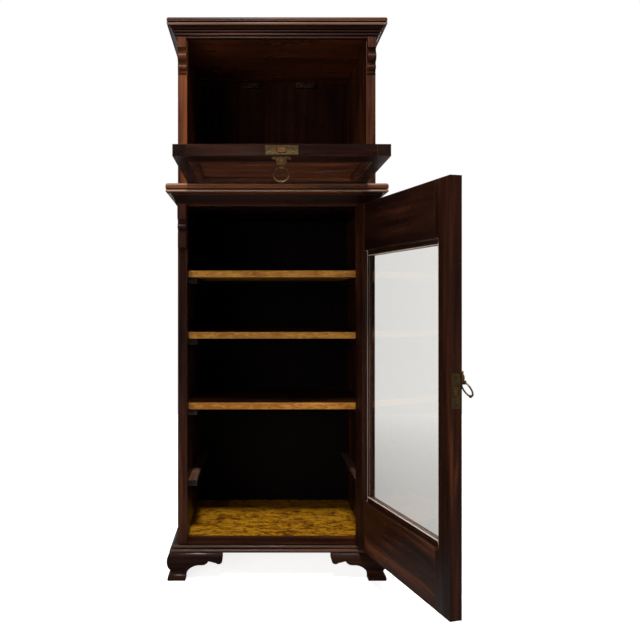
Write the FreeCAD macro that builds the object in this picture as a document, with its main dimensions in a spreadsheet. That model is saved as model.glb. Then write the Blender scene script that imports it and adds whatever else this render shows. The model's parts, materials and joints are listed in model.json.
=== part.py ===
import FreeCAD, Part
import math
import operator
import os
import types

import Sketcher

# A glazed display cabinet with a fall flap above a glass door, in millimetres.
# X runs to the right, Y to the back and Z up. The origin is on the floor under the middle of the sides.

SIZES = {
    # carcass boards
    "carcass_width": 444, "side_thickness": 21, "side_depth": 338,
    "back_thickness": 10, "back_rebate": 10,
    "foot_height": 60, "lower_height": 800, "waist_thickness": 21.5,
    "upper_height": 350, "top_thickness": 18.5,
    "lower_sub_top_thickness": 26, "upper_sub_top_thickness": 22.5,
    "floor_thickness": 20, "floor_rise": 4, "base_rail_height": 13.5, "floor_lip": 9,
    # moulded board edges: a bead, a groove and a thumb
    "top_overhang": 22.6, "waist_overhang": 24.8,
    "edge_bead_radius": 3.6, "edge_bead_rise": 0.6, "edge_groove_height": 1.8, "edge_thumb_radius": 6,
    # mouldings
    "reed_height": 6.2, "reed_start": 2, "reed_step": 3, "cornice_height": 24.5,
    "cornice_cove_start": 12.5, "cornice_reach": 20,
    "cove_height": 24, "cove_foot": 4, "cove_fillet": 3, "cove_start": 5.5, "cove_reach": 13.5, "cove_lip": 3,
    "base_lower_bead": 4, "base_upper_bead": 3.5, "base_overhang": 17, "base_step": 4.5, "base_fillet": 0.5,
    # ogee bracket feet
    "foot_toe": 20, "foot_toe_swell": 21.2, "foot_toe_height": 3, "foot_ankle": 20.1, "foot_ankle_height": 9,
    "foot_neck": 17.4, "foot_neck_height": 25, "foot_neck_centre": 24.5, "foot_belly_centre": -9,
    "foot_length": 101, "foot_inset": 8, "foot_pad": 19, "foot_pad_rise": 4,
    "scroll_bump_start": 48, "scroll_bump_end": 56, "scroll_bump_height": 35, "scroll_curve_centre": 50,
    "scroll_cusp": 70, "scroll_cusp_height": 44, "scroll_cusp_centre": 55,
    "scroll_bulb_start": 86.5, "scroll_bulb_height": 40, "scroll_end_height": 46.5, "scroll_bulb_centre": 46,
    "foot_block_side": 30, "foot_block_gap": 36,
    # corbels on the front edges of the sides
    "corbel_inset": 1, "corbel_small_roll": 13, "corbel_big_roll": 21,
    "corbel_foot": 6, "corbel_groove": 5, "corbel_deep_groove": 8,
    "corbel_block": 23, "corbel_root": 4, "corbel_middle": 7, "corbel_shoulder": 11, "corbel_reach": 18,
    "console_foot": 4, "console_flat": 33, "console_groove": 7, "console_roll": 13, "console_neck": 9,
    "console_block": 34, "console_root": 7, "console_face": 11, "console_throat": 8, "console_roll_seat": 9.5,
    "console_shoulder": 11, "console_reach": 20,
    # shelves and bearers
    "shelf_thickness": 15, "shelf_end_gap": 0.8, "shelf_back_gap": 0.5,
    "shelf_top_one": 389, "shelf_top_two": 550, "shelf_top_three": 690, "empty_bearer_top": 212,
    "bearer_width": 19.5, "bearer_height": 14, "bearer_setback": 6,
    "block_length": 50, "block_side": 13, "block_left": -64, "block_right": 86,
    # door
    "door_angle": 105.3, "door_gap": 1.6, "door_thickness": 22.7, "door_stop_gap": 0.3, "door_clearance": 2,
    "door_sill_gap": 3.5, "stile_width": 50, "top_rail_width": 114, "bottom_rail_width": 120,
    "lip_thickness": 8, "glass_rebate": 12, "glass_thickness": 3, "glass_gap": 0.5, "bead_thickness": 5,
    # fall flap
    "flap_angle": 90, "flap_setback": 20, "flap_rest_gap": 0.3, "flap_edge_gap": 1, "flap_top_gap": 1.2,
    "flap_side_gap": 2.5, "flap_thickness": 22, "flap_stile_width": 25, "flap_rail_width": 52,
    "panel_groove": 6, "panel_gap": 0.5, "panel_thickness": 7, "panel_recess": 8,
    "panel_rise": 3, "panel_bevel": 30, "panel_margin": 4, "panel_moulding_width": 16,
    "panel_moulding_land": 3, "panel_moulding_quirk": 0.5, "panel_moulding_foot": 1.5,
    # butt hinges
    "knuckle_standoff": 3.4, "knuckle_radius": 3.1, "knuckle_groove_gap": 0.3, "knuckle_gap": 0.3,
    "pin_radius": 1.4, "pin_fit": 0.05, "leaf_thickness": 1.6, "leaf_width": 21.4, "hinge_length": 60,
    "door_hinge_rise": 98, "door_hinge_drop": 152, "flap_hinge_inset": 48.5,
    "screw_head_radius": 2.4, "screw_radius": 1.1, "screw_head_height": 1.3, "screw_length": 11,
    "leaf_screw_line": 13, "leaf_screw_pitch": 20,
    # locks
    "lock_height": 466, "lock_plate_length": 60, "lock_plate_width": 16.5, "lock_plate_thickness": 2,
    "lock_case_length": 46, "lock_case_thickness": 11, "door_lock_depth": 32, "flap_lock_depth": 38,
    "lock_screw_pitch": 48, "bolt_width": 15.5, "bolt_thickness": 8, "bolt_length": 15, "bolt_gap": 0.4,
    "bolt_throw": 8, "mouth_gap": 1.2, "strike_length": 50, "strike_width": 16, "strike_thickness": 1.5,
    "strike_slot_length": 18, "strike_slot_width": 10.5, "strike_depth": 10.5,
    # ring pulls
    "pull_backset": 18, "pull_rise": 20.5, "pull_plate_thickness": 2, "pull_key_drop": 18,
    "pull_crown_radius": 9, "pull_crown_rise": 7, "pull_wing_radius": 7, "pull_wing_reach": 10,
    "pull_wing_rise": 9, "pull_tail_radius": 8, "pull_waist": 14,
    "boss_radius": 11.5, "boss_top_radius": 7.5, "boss_height": 12,
    "lug_thickness": 6, "lug_width": 7.4, "ring_pivot": 14.6, "ring_hole_radius": 2.2,
    "ring_drop": 8, "ring_radius": 14, "ring_wire_radius": 1.5, "ring_knob_radius": 3,
    "door_ring_droop": 62, "flap_ring_droop": 0,
    "key_radius": 2, "key_slot_width": 2, "key_slot_length": 6,
}

MARGIN = 1.0
PLANE_SIGN = {"XY_Plane": 1, "XZ_Plane": -1, "YZ_Plane": 1}
DIRECTIONS = {
    "+x": (1, 0, 0), "-x": (-1, 0, 0),
    "+y": (0, 1, 0), "-y": (0, -1, 0),
    "+z": (0, 0, 1), "-z": (0, 0, -1),
}
OPERATORS = {"+": operator.add, "-": operator.sub, "*": operator.mul, "/": operator.truediv}

document = FreeCAD.newDocument("DisplayCabinet")
parts = []


# Sizes that know both their value and the sheet expression that gives it
class Size:
    def __init__(self, value, text):
        self.value = value
        self.text = text

    def __add__(self, other):
        return combine(self, "+", other)

    def __radd__(self, other):
        return combine(other, "+", self)

    def __sub__(self, other):
        return combine(self, "-", other)

    def __rsub__(self, other):
        return combine(other, "-", self)

    def __mul__(self, other):
        return combine(self, "*", other)

    def __rmul__(self, other):
        return combine(other, "*", self)

    def __truediv__(self, other):
        return combine(self, "/", other)

    def __neg__(self):
        return combine(0, "-", self)


def as_size(number):
    return number if isinstance(number, Size) else Size(float(number), str(float(number)))


def combine(first, sign, second):
    left = as_size(first)
    right = as_size(second)
    return Size(OPERATORS[sign](left.value, right.value), f"({left.text} {sign} {right.text})")


def cosine(angle):
    return Size(math.cos(math.radians(angle.value)), f"cos({angle.text} * 1 deg)")


def sine(angle):
    return Size(math.sin(math.radians(angle.value)), f"sin({angle.text} * 1 deg)")


def fill_sheet():
    sheet = document.addObject("Spreadsheet::Sheet", "Size")
    named = {}
    for row, (name, value) in enumerate(SIZES.items(), start=1):
        sheet.set(f"A{row}", str(value))
        sheet.setAlias(f"A{row}", name)
        named[name] = Size(float(value), f"Size.{name}")
    document.recompute()
    return types.SimpleNamespace(**named)


s = fill_sheet()

# Levels and planes that the pieces share
HALF = s.carcass_width / 2
INNER = HALF - s.side_thickness
FRONT = -s.side_depth / 2
BACK = s.side_depth / 2
BACK_FACE = BACK - s.back_thickness
LOW_TOP = s.foot_height + s.lower_height
WAIST_TOP = LOW_TOP + s.waist_thickness
UPPER_TOP = WAIST_TOP + s.upper_height
LOW_CEILING = LOW_TOP - s.lower_sub_top_thickness
CEILING = UPPER_TOP - s.upper_sub_top_thickness
INSIDE_FRONT = FRONT + s.door_thickness + s.door_stop_gap

# The door in its own frame, closed, with the hinge axis at its origin
DOOR_X = INNER - s.door_gap / 2
DOOR_Y = FRONT - s.knuckle_standoff
DOOR_EDGE = -s.door_gap / 2
DOOR_FREE = DOOR_EDGE - (2 * INNER - 2 * s.door_gap)
DOOR_FACE = s.knuckle_standoff
DOOR_INSIDE = DOOR_FACE + s.door_thickness
DOOR_MIDDLE = DOOR_FACE + s.door_thickness / 2
DOOR_BOTTOM = s.foot_height + s.base_rail_height + s.door_sill_gap
DOOR_TOP = LOW_CEILING - s.door_clearance
PANE_LEFT = DOOR_FREE + s.stile_width
PANE_RIGHT = DOOR_EDGE - s.stile_width
PANE_BOTTOM = DOOR_BOTTOM + s.bottom_rail_width
PANE_TOP = DOOR_TOP - s.top_rail_width
GLASS_FACE = DOOR_FACE + s.lip_thickness
GLASS_BACK = GLASS_FACE + s.glass_thickness

# The flap in its own frame, closed, with the hinge axis at its origin
FLAP_Y = FRONT + s.flap_setback
FLAP_Z = WAIST_TOP + s.flap_rest_gap
FLAP_HALF = INNER - s.flap_side_gap
FLAP_BOTTOM = s.flap_edge_gap
FLAP_TOP = CEILING - s.flap_top_gap - FLAP_Z
PANEL_HALF = FLAP_HALF - s.flap_stile_width
PANEL_BOTTOM = FLAP_BOTTOM + s.flap_rail_width
PANEL_TOP = FLAP_TOP - s.flap_rail_width
PANEL_BACK = s.panel_recess + s.panel_thickness
FLAP_MIDDLE = s.flap_thickness / 2


# Building blocks
def bind(item, prop, size):
    item.setExpression(prop, as_size(size).text)


def locate(item, corner):
    for axis, size in zip("xyz", corner):
        bind(item, f"Placement.Base.{axis}", size)


def block(x, y, z):
    item = document.addObject("Part::Box", "Block")
    for prop, (low, high) in zip(("Length", "Width", "Height"), (x, y, z)):
        bind(item, prop, high - low)
    locate(item, (x[0], y[0], z[0]))
    return item


def turn_to(item, direction):
    axis = FreeCAD.Vector(*DIRECTIONS[direction])
    item.Placement = FreeCAD.Placement(FreeCAD.Vector(), FreeCAD.Rotation(FreeCAD.Vector(0, 0, 1), axis))


def rod(radius, start, direction, length):
    item = document.addObject("Part::Cylinder", "Rod")
    bind(item, "Radius", radius)
    bind(item, "Height", length)
    turn_to(item, direction)
    locate(item, start)
    return item


def taper(first_radius, second_radius, start, direction, length):
    item = document.addObject("Part::Cone", "Taper")
    bind(item, "Radius1", first_radius)
    bind(item, "Radius2", second_radius)
    bind(item, "Height", length)
    turn_to(item, direction)
    locate(item, start)
    return item


def fuse(*items):
    item = document.addObject("Part::MultiFuse", "Fuse")
    item.Shapes = list(items)
    return item


def common(*items):
    item = document.addObject("Part::MultiCommon", "Common")
    item.Shapes = list(items)
    return item


def cut(base, *tools):
    item = document.addObject("Part::Cut", "Cut")
    item.Base = base
    item.Tool = tools[0] if len(tools) == 1 else fuse(*tools)
    return item


def group(*items):
    item = document.addObject("Part::Compound", "Group")
    item.Links = list(items)
    return item


def mirrored(source, normal=(1, 0, 0)):
    item = document.addObject("Part::Mirroring", "Mirror")
    item.Source = source
    item.Normal = FreeCAD.Vector(*normal)
    return item


def part(label, item, frame=None):
    item.Label = label
    if frame:
        frame(item)
    parts.append(item)
    return item


def door_frame(item):
    turn = FreeCAD.Rotation(FreeCAD.Vector(0, 0, 1), s.door_angle.value)
    item.Placement = FreeCAD.Placement(FreeCAD.Vector(), turn)
    locate(item, (DOOR_X, DOOR_Y, 0))
    bind(item, "Placement.Rotation.Angle", s.door_angle)


def flap_frame(item):
    turn = FreeCAD.Rotation(FreeCAD.Vector(1, 0, 0), s.flap_angle.value)
    item.Placement = FreeCAD.Placement(FreeCAD.Vector(), turn)
    locate(item, (0, FLAP_Y, FLAP_Z))
    bind(item, "Placement.Rotation.Angle", s.flap_angle)


# Sketched outlines: each point is (x, y), or (x, y, arc) where an arc leads to the next point.
# An arc names the axis along which its centre is given, that coordinate, and its turn (1 is anticlockwise).
def arc_centre(first, second, axis, along):
    near, far = (0, 1) if axis == "x" else (1, 0)
    gap = (first[near] - along) ** 2 - (second[near] - along) ** 2
    across = (gap + first[far] ** 2 - second[far] ** 2) / (2 * (first[far] - second[far]))
    return (along, across) if axis == "x" else (across, along)


def arc_geometry(first, second, centre, turn):
    circle = Part.Circle(FreeCAD.Vector(*centre, 0), FreeCAD.Vector(0, 0, 1), math.dist(first, centre))
    ends = [math.atan2(point[1] - centre[1], point[0] - centre[0]) for point in (first, second)]
    start, stop = ends if turn > 0 else reversed(ends)
    return Part.ArcOfCircle(circle, start, stop if stop > start else stop + 2 * math.pi)


def draw_outline(sketch, outline):
    places = [tuple(as_size(value).value for value in point[:2]) for point in outline]
    count = len(outline)
    ends = []
    for index, point in enumerate(outline):
        here = places[index]
        there = places[(index + 1) % count]
        if len(point) == 3:
            axis, along, turn = point[2]
            centre = arc_centre(here, there, axis, as_size(along).value)
            sketch.addGeometry(arc_geometry(here, there, centre, turn))
            ends.append((1, 2) if turn > 0 else (2, 1))
        else:
            sketch.addGeometry(Part.LineSegment(FreeCAD.Vector(*here, 0), FreeCAD.Vector(*there, 0)))
            ends.append((1, 2))
    for index, point in enumerate(outline):
        follower = (index + 1) % count
        meeting = Sketcher.Constraint("Coincident", index, ends[index][1], follower, ends[follower][0])
        sketch.addConstraint(meeting)
        fix_point(sketch, index, ends[index][0], "x", point[0])
        fix_point(sketch, index, ends[index][0], "y", point[1])
        if len(point) == 3:
            fix_point(sketch, index, 3, point[2][0], point[2][1])


def fix_point(sketch, index, end, axis, size):
    kind = "DistanceX" if axis == "x" else "DistanceY"
    number = sketch.addConstraint(Sketcher.Constraint(kind, -1, 1, index, end, as_size(size).value))
    bind(sketch, f"Constraints[{number}]", size)


def prism(plane, outline, start, length):
    body = document.addObject("PartDesign::Body", "Body")
    sketch = body.newObject("Sketcher::SketchObject", "Outline")
    support = [feature for feature in body.Origin.OriginFeatures if feature.Role == plane][0]
    sketch.AttachmentSupport = [(support, "")]
    sketch.MapMode = "FlatFace"
    bind(sketch, "AttachmentOffset.Base.z", start * PLANE_SIGN[plane])
    draw_outline(sketch, outline)
    pad = body.newObject("PartDesign::Pad", "Pad")
    pad.Profile = sketch
    pad.Reversed = PLANE_SIGN[plane] < 0
    bind(pad, "Length", length)
    return body


def slab(x, y, z):
    outline = [(x[0], z[0]), (x[1], z[0]), (x[1], z[1]), (x[0], z[1])]
    return prism("XZ_Plane", outline, y[0], y[1] - y[0])


def outward(profile, origin, bottom):
    points = []
    for out, up, *arc in profile:
        if arc:
            axis, along, turn = arc[0]
            along = origin - along if axis == "x" else bottom + along
            points.append((origin - out, bottom + up, (axis, along, -turn)))
        else:
            points.append((origin - out, bottom + up))
    return points


# Mouldings and moulded boards
def moulded_board(profile, bottom, thickness, overhang):
    far = HALF + overhang + MARGIN
    ends = [(BACK, bottom + thickness), (BACK, bottom)]
    face = prism("YZ_Plane", outward(profile, FRONT, bottom) + ends, -far, 2 * far)
    ends = [(far, bottom + thickness), (far, bottom)]
    side = prism("XZ_Plane", outward(profile, -HALF, bottom) + ends, FRONT - far, far + s.side_depth + MARGIN)
    return common(face, side, mirrored(side))


def edge_profile(thickness, overhang):
    seat = overhang - s.edge_bead_radius
    bead_top = s.edge_bead_rise + 2 * s.edge_bead_radius
    thumb_bottom = bead_top + s.edge_groove_height
    return [
        (seat, 0),
        (seat, s.edge_bead_rise, ("x", seat, 1)),
        (seat, bead_top),
        (seat, thumb_bottom),
        (overhang, thumb_bottom),
        (overhang, thickness - s.edge_thumb_radius, ("x", overhang - s.edge_thumb_radius, 1)),
        (overhang - s.edge_thumb_radius, thickness),
    ]


def moulding_run(name, profile, bottom, height, reach):
    corner = -HALF - reach
    tip = FRONT - reach
    front_plan = [(corner, tip), (-corner, tip), (HALF, FRONT), (-HALF, FRONT)]
    side_plan = [(corner, tip), (-HALF, FRONT), (-HALF, BACK), (corner, BACK)]
    face = prism("YZ_Plane", outward(profile, FRONT, bottom), corner, -2 * corner)
    side = prism("XZ_Plane", outward(profile, -HALF, bottom), tip, BACK - tip)
    part(f"{name}_front", common(face, prism("XY_Plane", front_plan, bottom, height)))
    left = common(side, prism("XY_Plane", side_plan, bottom, height))
    part(f"{name}_returns", group(left, mirrored(left)))


def cornice_profile():
    points = [(0, 0)]
    for number in range(3):
        seat = s.reed_start + s.reed_step * number
        points.append((seat, s.reed_height * number, ("x", seat, 1)))
        points.append((seat, s.reed_height * (number + 1)))
    crown = 3 * s.reed_height
    points.append((s.cornice_cove_start, crown, ("x", s.cornice_reach, -1)))
    points.append((s.cornice_reach, s.cornice_height))
    points.append((0, s.cornice_height))
    return points


def cove_profile():
    lip = s.cove_height - s.cove_lip
    return [
        (0, 0),
        (s.cove_foot, 0),
        (s.cove_foot, s.cove_fillet),
        (s.cove_start, s.cove_fillet, ("y", s.cove_fillet, -1)),
        (s.cove_reach, lip),
        (s.cove_reach, s.cove_height),
        (0, s.cove_height),
    ]


def base_profile():
    lower_seat = s.base_overhang - s.base_lower_bead
    upper_seat = lower_seat - s.base_step
    ledge = s.base_fillet + 2 * s.base_lower_bead
    crown = ledge + 2 * s.base_upper_bead
    return [
        (0, 0),
        (lower_seat, 0),
        (lower_seat, s.base_fillet, ("x", lower_seat, 1)),
        (lower_seat, ledge),
        (upper_seat, ledge, ("x", upper_seat, 1)),
        (upper_seat, crown),
        (0, crown),
    ]


# Carcass
def make_sides(stage, low, high, left_tools, right_tools):
    rebate_edge = INNER + s.back_rebate
    depth = (FRONT, BACK)
    rebate_depth = (BACK_FACE, BACK)
    left_rebate = block((-rebate_edge, -INNER), rebate_depth, (low, high))
    part(f"{stage}_side_left", cut(block((-HALF, -INNER), depth, (low, high)), left_rebate, *left_tools))
    right_rebate = block((INNER, rebate_edge), rebate_depth, (low, high))
    part(f"{stage}_side_right", cut(block((INNER, HALF), depth, (low, high)), right_rebate, *right_tools))


def make_carcass(door_fixed, flap_fixed):
    make_sides("lower", s.foot_height, LOW_TOP, door_strike_tools(), door_fixed)
    make_sides("upper", WAIST_TOP, UPPER_TOP, [], [])
    width = (-INNER, INNER)
    back_width = (-INNER - s.back_rebate, INNER + s.back_rebate)
    part("lower_back_panel", slab(back_width, (BACK_FACE, BACK), (s.foot_height, LOW_TOP)))
    part("upper_back_panel", slab(back_width, (BACK_FACE, BACK), (WAIST_TOP, UPPER_TOP)))
    floor_low = s.foot_height + s.floor_rise
    floor_top = floor_low + s.floor_thickness
    lip_back = INSIDE_FRONT + s.floor_lip
    part("floor_board", slab(width, (lip_back, BACK_FACE), (floor_low, floor_top)))
    rail = block(width, (FRONT, INSIDE_FRONT), (s.foot_height, s.foot_height + s.base_rail_height))
    lip = block(width, (INSIDE_FRONT, lip_back), (s.foot_height, floor_top))
    part("base_front_rail", fuse(rail, lip))
    part("lower_sub_top", slab(width, (FRONT, BACK_FACE), (LOW_CEILING, LOW_TOP)))
    sub_top = block(width, (FRONT, BACK_FACE), (CEILING, UPPER_TOP))
    part("upper_sub_top", cut(sub_top, *flap_strike_tools()))
    waist = moulded_board(edge_profile(s.waist_thickness, s.waist_overhang), LOW_TOP, s.waist_thickness,
                          s.waist_overhang)
    part("waist_board", cut(waist, *flap_fixed))
    part("top_board", moulded_board(edge_profile(s.top_thickness, s.top_overhang), UPPER_TOP, s.top_thickness,
                                    s.top_overhang))
    moulding_run("cornice", cornice_profile(), UPPER_TOP - s.cornice_height, s.cornice_height, s.cornice_reach)
    moulding_run("waist_cove", cove_profile(), LOW_TOP - s.cove_height, s.cove_height, s.cove_reach)
    base_height = s.base_fillet + 2 * s.base_lower_bead + 2 * s.base_upper_bead
    moulding_run("base_moulding", base_profile(), s.foot_height, base_height, s.base_overhang)


def foot_profile(depth):
    return [
        (-depth, 0),
        (s.foot_toe, 0),
        (s.foot_toe_swell, s.foot_toe_height),
        (s.foot_ankle, s.foot_ankle_height, ("x", s.foot_neck_centre, -1)),
        (s.foot_neck, s.foot_neck_height, ("x", s.foot_belly_centre, 1)),
        (s.base_overhang, s.foot_height),
        (-depth, s.foot_height),
    ]


def scroll_outline(origin, sign):
    def at(inward, up, *arc):
        if not arc:
            return (origin + sign * inward, up)
        axis, along, turn = arc[0]
        centre = origin + sign * along if axis == "x" else along
        return (origin + sign * inward, up, (axis, centre, sign * turn))

    return [
        at(s.foot_pad, -MARGIN),
        at(s.foot_pad, s.foot_pad_rise, ("x", s.scroll_curve_centre, -1)),
        at(s.scroll_bump_start, s.scroll_bump_height),
        at(s.scroll_bump_end, s.scroll_bump_height, ("x", s.scroll_cusp_centre, 1)),
        at(s.scroll_cusp, s.scroll_cusp_height),
        at(s.scroll_bulb_start, s.scroll_bulb_height, ("y", s.scroll_bulb_centre, 1)),
        at(s.foot_length, s.scroll_end_height),
        at(s.foot_length + MARGIN, s.scroll_end_height),
        at(s.foot_length + MARGIN, -MARGIN),
    ]


def make_feet():
    depth = s.foot_length
    reach = s.foot_toe_swell + s.foot_height
    inside = HALF - s.foot_inset
    across = prism("XZ_Plane", outward(foot_profile(depth), -HALF, 0), FRONT - reach, s.side_depth + 2 * reach)
    heights = (-MARGIN, s.foot_height + MARGIN)
    for place, edge, sign in (("front", FRONT, 1), ("back", BACK, -1)):
        if place == "front":
            along = prism("YZ_Plane", outward(foot_profile(depth), FRONT, 0), -HALF - reach, depth + reach)
            hollow_y = (FRONT + s.foot_inset, FRONT + depth + MARGIN)
            face_y = (FRONT - reach, FRONT + s.foot_inset + MARGIN)
        else:
            along = block((-HALF - reach, -HALF + depth), (BACK - depth, BACK), (0, s.foot_height))
            hollow_y = (BACK - depth - MARGIN, BACK - s.side_thickness)
            face_y = (BACK - s.side_thickness - MARGIN, BACK + MARGIN)
        hollow = block((-inside, -HALF + depth + MARGIN), hollow_y, heights)
        face_scroll = prism("XZ_Plane", scroll_outline(-HALF, 1), face_y[0], face_y[1] - face_y[0])
        side_reach = reach + s.foot_inset + MARGIN
        side_scroll = prism("YZ_Plane", scroll_outline(edge, sign), -HALF - reach, side_reach)
        foot = cut(common(across, along), hollow, face_scroll, side_scroll)
        part(f"foot_{place}_left", foot)
        part(f"foot_{place}_right", mirrored(foot))


def make_glue_blocks():
    inside = HALF - s.foot_inset
    top = s.foot_height
    blocks = []
    for low_y in (FRONT + s.foot_inset, BACK - s.side_thickness - s.foot_block_side):
        for low_x in (-inside, inside - s.foot_block_side):
            span_x = (low_x, low_x + s.foot_block_side)
            blocks.append(block(span_x, (low_y, low_y + s.foot_block_side), (s.foot_block_gap, top)))
    for middle in (s.block_left, s.block_right):
        span_x = (middle - s.block_length / 2, middle + s.block_length / 2)
        blocks.append(block(span_x, (BACK_FACE - s.block_side, BACK_FACE), (CEILING - s.block_side, CEILING)))
    part("glue_blocks", group(*blocks))


def corbel_profile():
    first = s.corbel_foot
    second = first + s.corbel_small_roll
    third = second + s.corbel_groove
    fourth = third + s.corbel_big_roll
    fifth = fourth + s.corbel_deep_groove
    top = fifth + s.corbel_block
    return top, [
        (0, 0),
        (s.corbel_root, 0),
        (s.corbel_root, first, ("x", s.corbel_root, 1)),
        (s.corbel_root, second),
        (s.corbel_middle, second),
        (s.corbel_middle, third, ("x", s.corbel_middle, 1)),
        (s.corbel_middle, fourth),
        (s.corbel_shoulder, fourth),
        (s.corbel_shoulder, fifth),
        (s.corbel_reach, fifth),
        (s.corbel_reach, top),
        (0, top),
    ]


def console_profile():
    first = s.console_foot
    second = first + s.console_flat
    third = second + s.console_groove
    fourth = third + s.console_roll
    fifth = fourth + s.console_neck
    top = fifth + s.console_block
    return top, [
        (0, 0),
        (s.console_root, 0),
        (s.console_root, first),
        (s.console_face, first),
        (s.console_face, second),
        (s.console_throat, second),
        (s.console_throat, third),
        (s.console_roll_seat, third, ("x", s.console_roll_seat, 1)),
        (s.console_roll_seat, fourth),
        (s.console_shoulder, fourth),
        (s.console_shoulder, fifth),
        (s.console_reach, fifth),
        (s.console_reach, top),
        (0, top),
    ]


def make_corbels():
    hung_from = {"upper": (corbel_profile(), UPPER_TOP - s.cornice_height),
                 "lower": (console_profile(), LOW_TOP - s.cove_height)}
    for stage, ((height, profile), top) in hung_from.items():
        width = s.side_thickness - 2 * s.corbel_inset
        outline = outward(profile, FRONT, top - height)
        corbel = prism("YZ_Plane", outline, -HALF + s.corbel_inset, width)
        part(f"{stage}_corbel_left", corbel)
        part(f"{stage}_corbel_right", mirrored(corbel))


def make_shelves():
    width = (-INNER + s.shelf_end_gap, INNER - s.shelf_end_gap)
    depth = (INSIDE_FRONT, BACK_FACE - s.shelf_back_gap)
    tops = {"bottom": s.shelf_top_one, "middle": s.shelf_top_two, "top": s.shelf_top_three}
    bearer_tops = [s.empty_bearer_top]
    for name, top in tops.items():
        part(f"shelf_{name}", slab(width, depth, (top - s.shelf_thickness, top)))
        bearer_tops.append(top - s.shelf_thickness)
    bearers = []
    for top in bearer_tops:
        for span in ((-INNER, -INNER + s.bearer_width), (INNER - s.bearer_width, INNER)):
            run = (INSIDE_FRONT + s.bearer_setback, BACK_FACE)
            bearers.append(block(span, run, (top - s.bearer_height, top)))
    part("shelf_bearers", group(*bearers))


# Butt hinges: offsets lie across the closed leaves, the fixed leaf on the positive side
def hinge_block(kind, offset, leaf, axis, origin):
    spans = {"door": (offset, leaf, axis), "flap": (axis, leaf, (-offset[1], -offset[0]))}[kind]
    return block(*[(origin[k] + spans[k][0], origin[k] + spans[k][1]) for k in range(3)])


def hinge_rod(kind, radius, axis, origin):
    direction = "+z" if kind == "door" else "+x"
    along = 2 if kind == "door" else 0
    start = [origin[k] + axis[0] if k == along else origin[k] for k in range(3)]
    return rod(radius, start, direction, axis[1] - axis[0])


def hinge_screws(kind, offset, direction, middle, origin):
    screws = []
    for step in (-1, 0, 1):
        axis = middle + s.leaf_screw_pitch * step
        spot = {"door": (offset, s.leaf_screw_line, axis), "flap": (axis, s.leaf_screw_line, -offset)}[kind]
        screws.append(screw([origin[k] + spot[k] for k in range(3)], direction))
    return screws


def screw(spot, direction):
    step = [s.screw_head_height * amount for amount in DIRECTIONS[direction]]
    neck = [spot[k] + step[k] for k in range(3)]
    head = taper(s.screw_head_radius, s.screw_radius, spot, direction, s.screw_head_height)
    return fuse(head, rod(s.screw_radius, neck, direction, s.screw_length))


def hinge_leaf(kind, face, knuckles, bore, middle, origin, screws):
    far = face + s.leaf_thickness if face.value > 0 else face - s.leaf_thickness
    offset = (face, far) if face.value > 0 else (far, face)
    span = (middle - s.hinge_length / 2, middle + s.hinge_length / 2)
    pieces = [hinge_block(kind, offset, (s.knuckle_standoff, s.leaf_width), span, origin)]
    for low, high in knuckles:
        axis = (middle + low, middle + high)
        pieces.append(hinge_block(kind, offset, (0, s.knuckle_standoff), axis, origin))
        pieces.append(hinge_rod(kind, s.knuckle_radius, axis, origin))
    return cut(fuse(*pieces), hinge_rod(kind, bore, span, origin), *screws)


def leaf_recess(kind, face, middle, origin):
    far = face + s.leaf_thickness if face.value > 0 else face - s.leaf_thickness
    offset = (face, far) if face.value > 0 else (far, face)
    span = (middle - s.hinge_length / 2, middle + s.hinge_length / 2)
    return hinge_block(kind, offset, (0, s.leaf_width), span, origin)


def knuckle_groove(kind, middle, origin):
    reach = s.hinge_length / 2 + s.knuckle_groove_gap
    return hinge_rod(kind, s.knuckle_radius + s.knuckle_groove_gap, (middle - reach, middle + reach), origin)


def make_hinges(kind, middles, fixed_face, moving_face, directions, pivot):
    own = (as_size(0), as_size(0), as_size(0))
    third = s.hinge_length / 6
    ends = [(-s.hinge_length / 2, -third), (third, s.hinge_length / 2)]
    centre = [(-third + s.knuckle_gap, third - s.knuckle_gap)]
    made = {"fixed_leaves": [], "moving_leaves": [], "pins": [], "fixed_screws": [], "moving_screws": [],
            "fixed_tools": [], "moving_tools": []}
    for middle in middles:
        held = hinge_screws(kind, fixed_face, directions[0], middle, pivot)
        carried = hinge_screws(kind, moving_face, directions[1], middle, own)
        made["fixed_leaves"].append(hinge_leaf(kind, fixed_face, ends, s.pin_radius, middle, pivot, held))
        bore = s.pin_radius + s.pin_fit
        made["moving_leaves"].append(hinge_leaf(kind, moving_face, centre, bore, middle, own, carried))
        span = (middle - s.hinge_length / 2, middle + s.hinge_length / 2)
        made["pins"].append(hinge_rod(kind, s.pin_radius, span, pivot))
        made["fixed_screws"] += held
        made["moving_screws"] += carried
        made["fixed_tools"] += [leaf_recess(kind, fixed_face, middle, pivot)] + held
        made["moving_tools"] += [leaf_recess(kind, moving_face, middle, own)] + carried
        if kind == "flap":
            made["fixed_tools"].append(knuckle_groove(kind, middle, pivot))
            made["moving_tools"].append(knuckle_groove(kind, middle, own))
    return made


# Locks: the strike plates, the cases and the bolts
def around(middle, width):
    return (middle - width / 2, middle + width / 2)


def door_strike_tools():
    y = FRONT + s.door_thickness / 2
    recess = block((-INNER - s.strike_thickness, -INNER), around(y, s.strike_width),
                   around(s.lock_height, s.strike_length))
    mortise = block((-INNER - s.strike_depth, -INNER), around(y, s.strike_slot_width),
                    around(s.lock_height, s.strike_slot_length))
    return [recess, mortise]


def flap_strike_tools():
    y = FLAP_Y + FLAP_MIDDLE
    recess = block(around(as_size(0), s.strike_length), around(y, s.strike_width),
                   (CEILING, CEILING + s.strike_thickness))
    mortise = block(around(as_size(0), s.strike_slot_length), around(y, s.strike_slot_width),
                    (CEILING, CEILING + s.strike_depth))
    return [recess, mortise]


def make_strikes():
    plate, slot = door_strike_tools()
    part("door_strike_plate", cut(plate, slot))
    plate, slot = flap_strike_tools()
    part("flap_strike_plate", cut(plate, slot))


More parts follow.
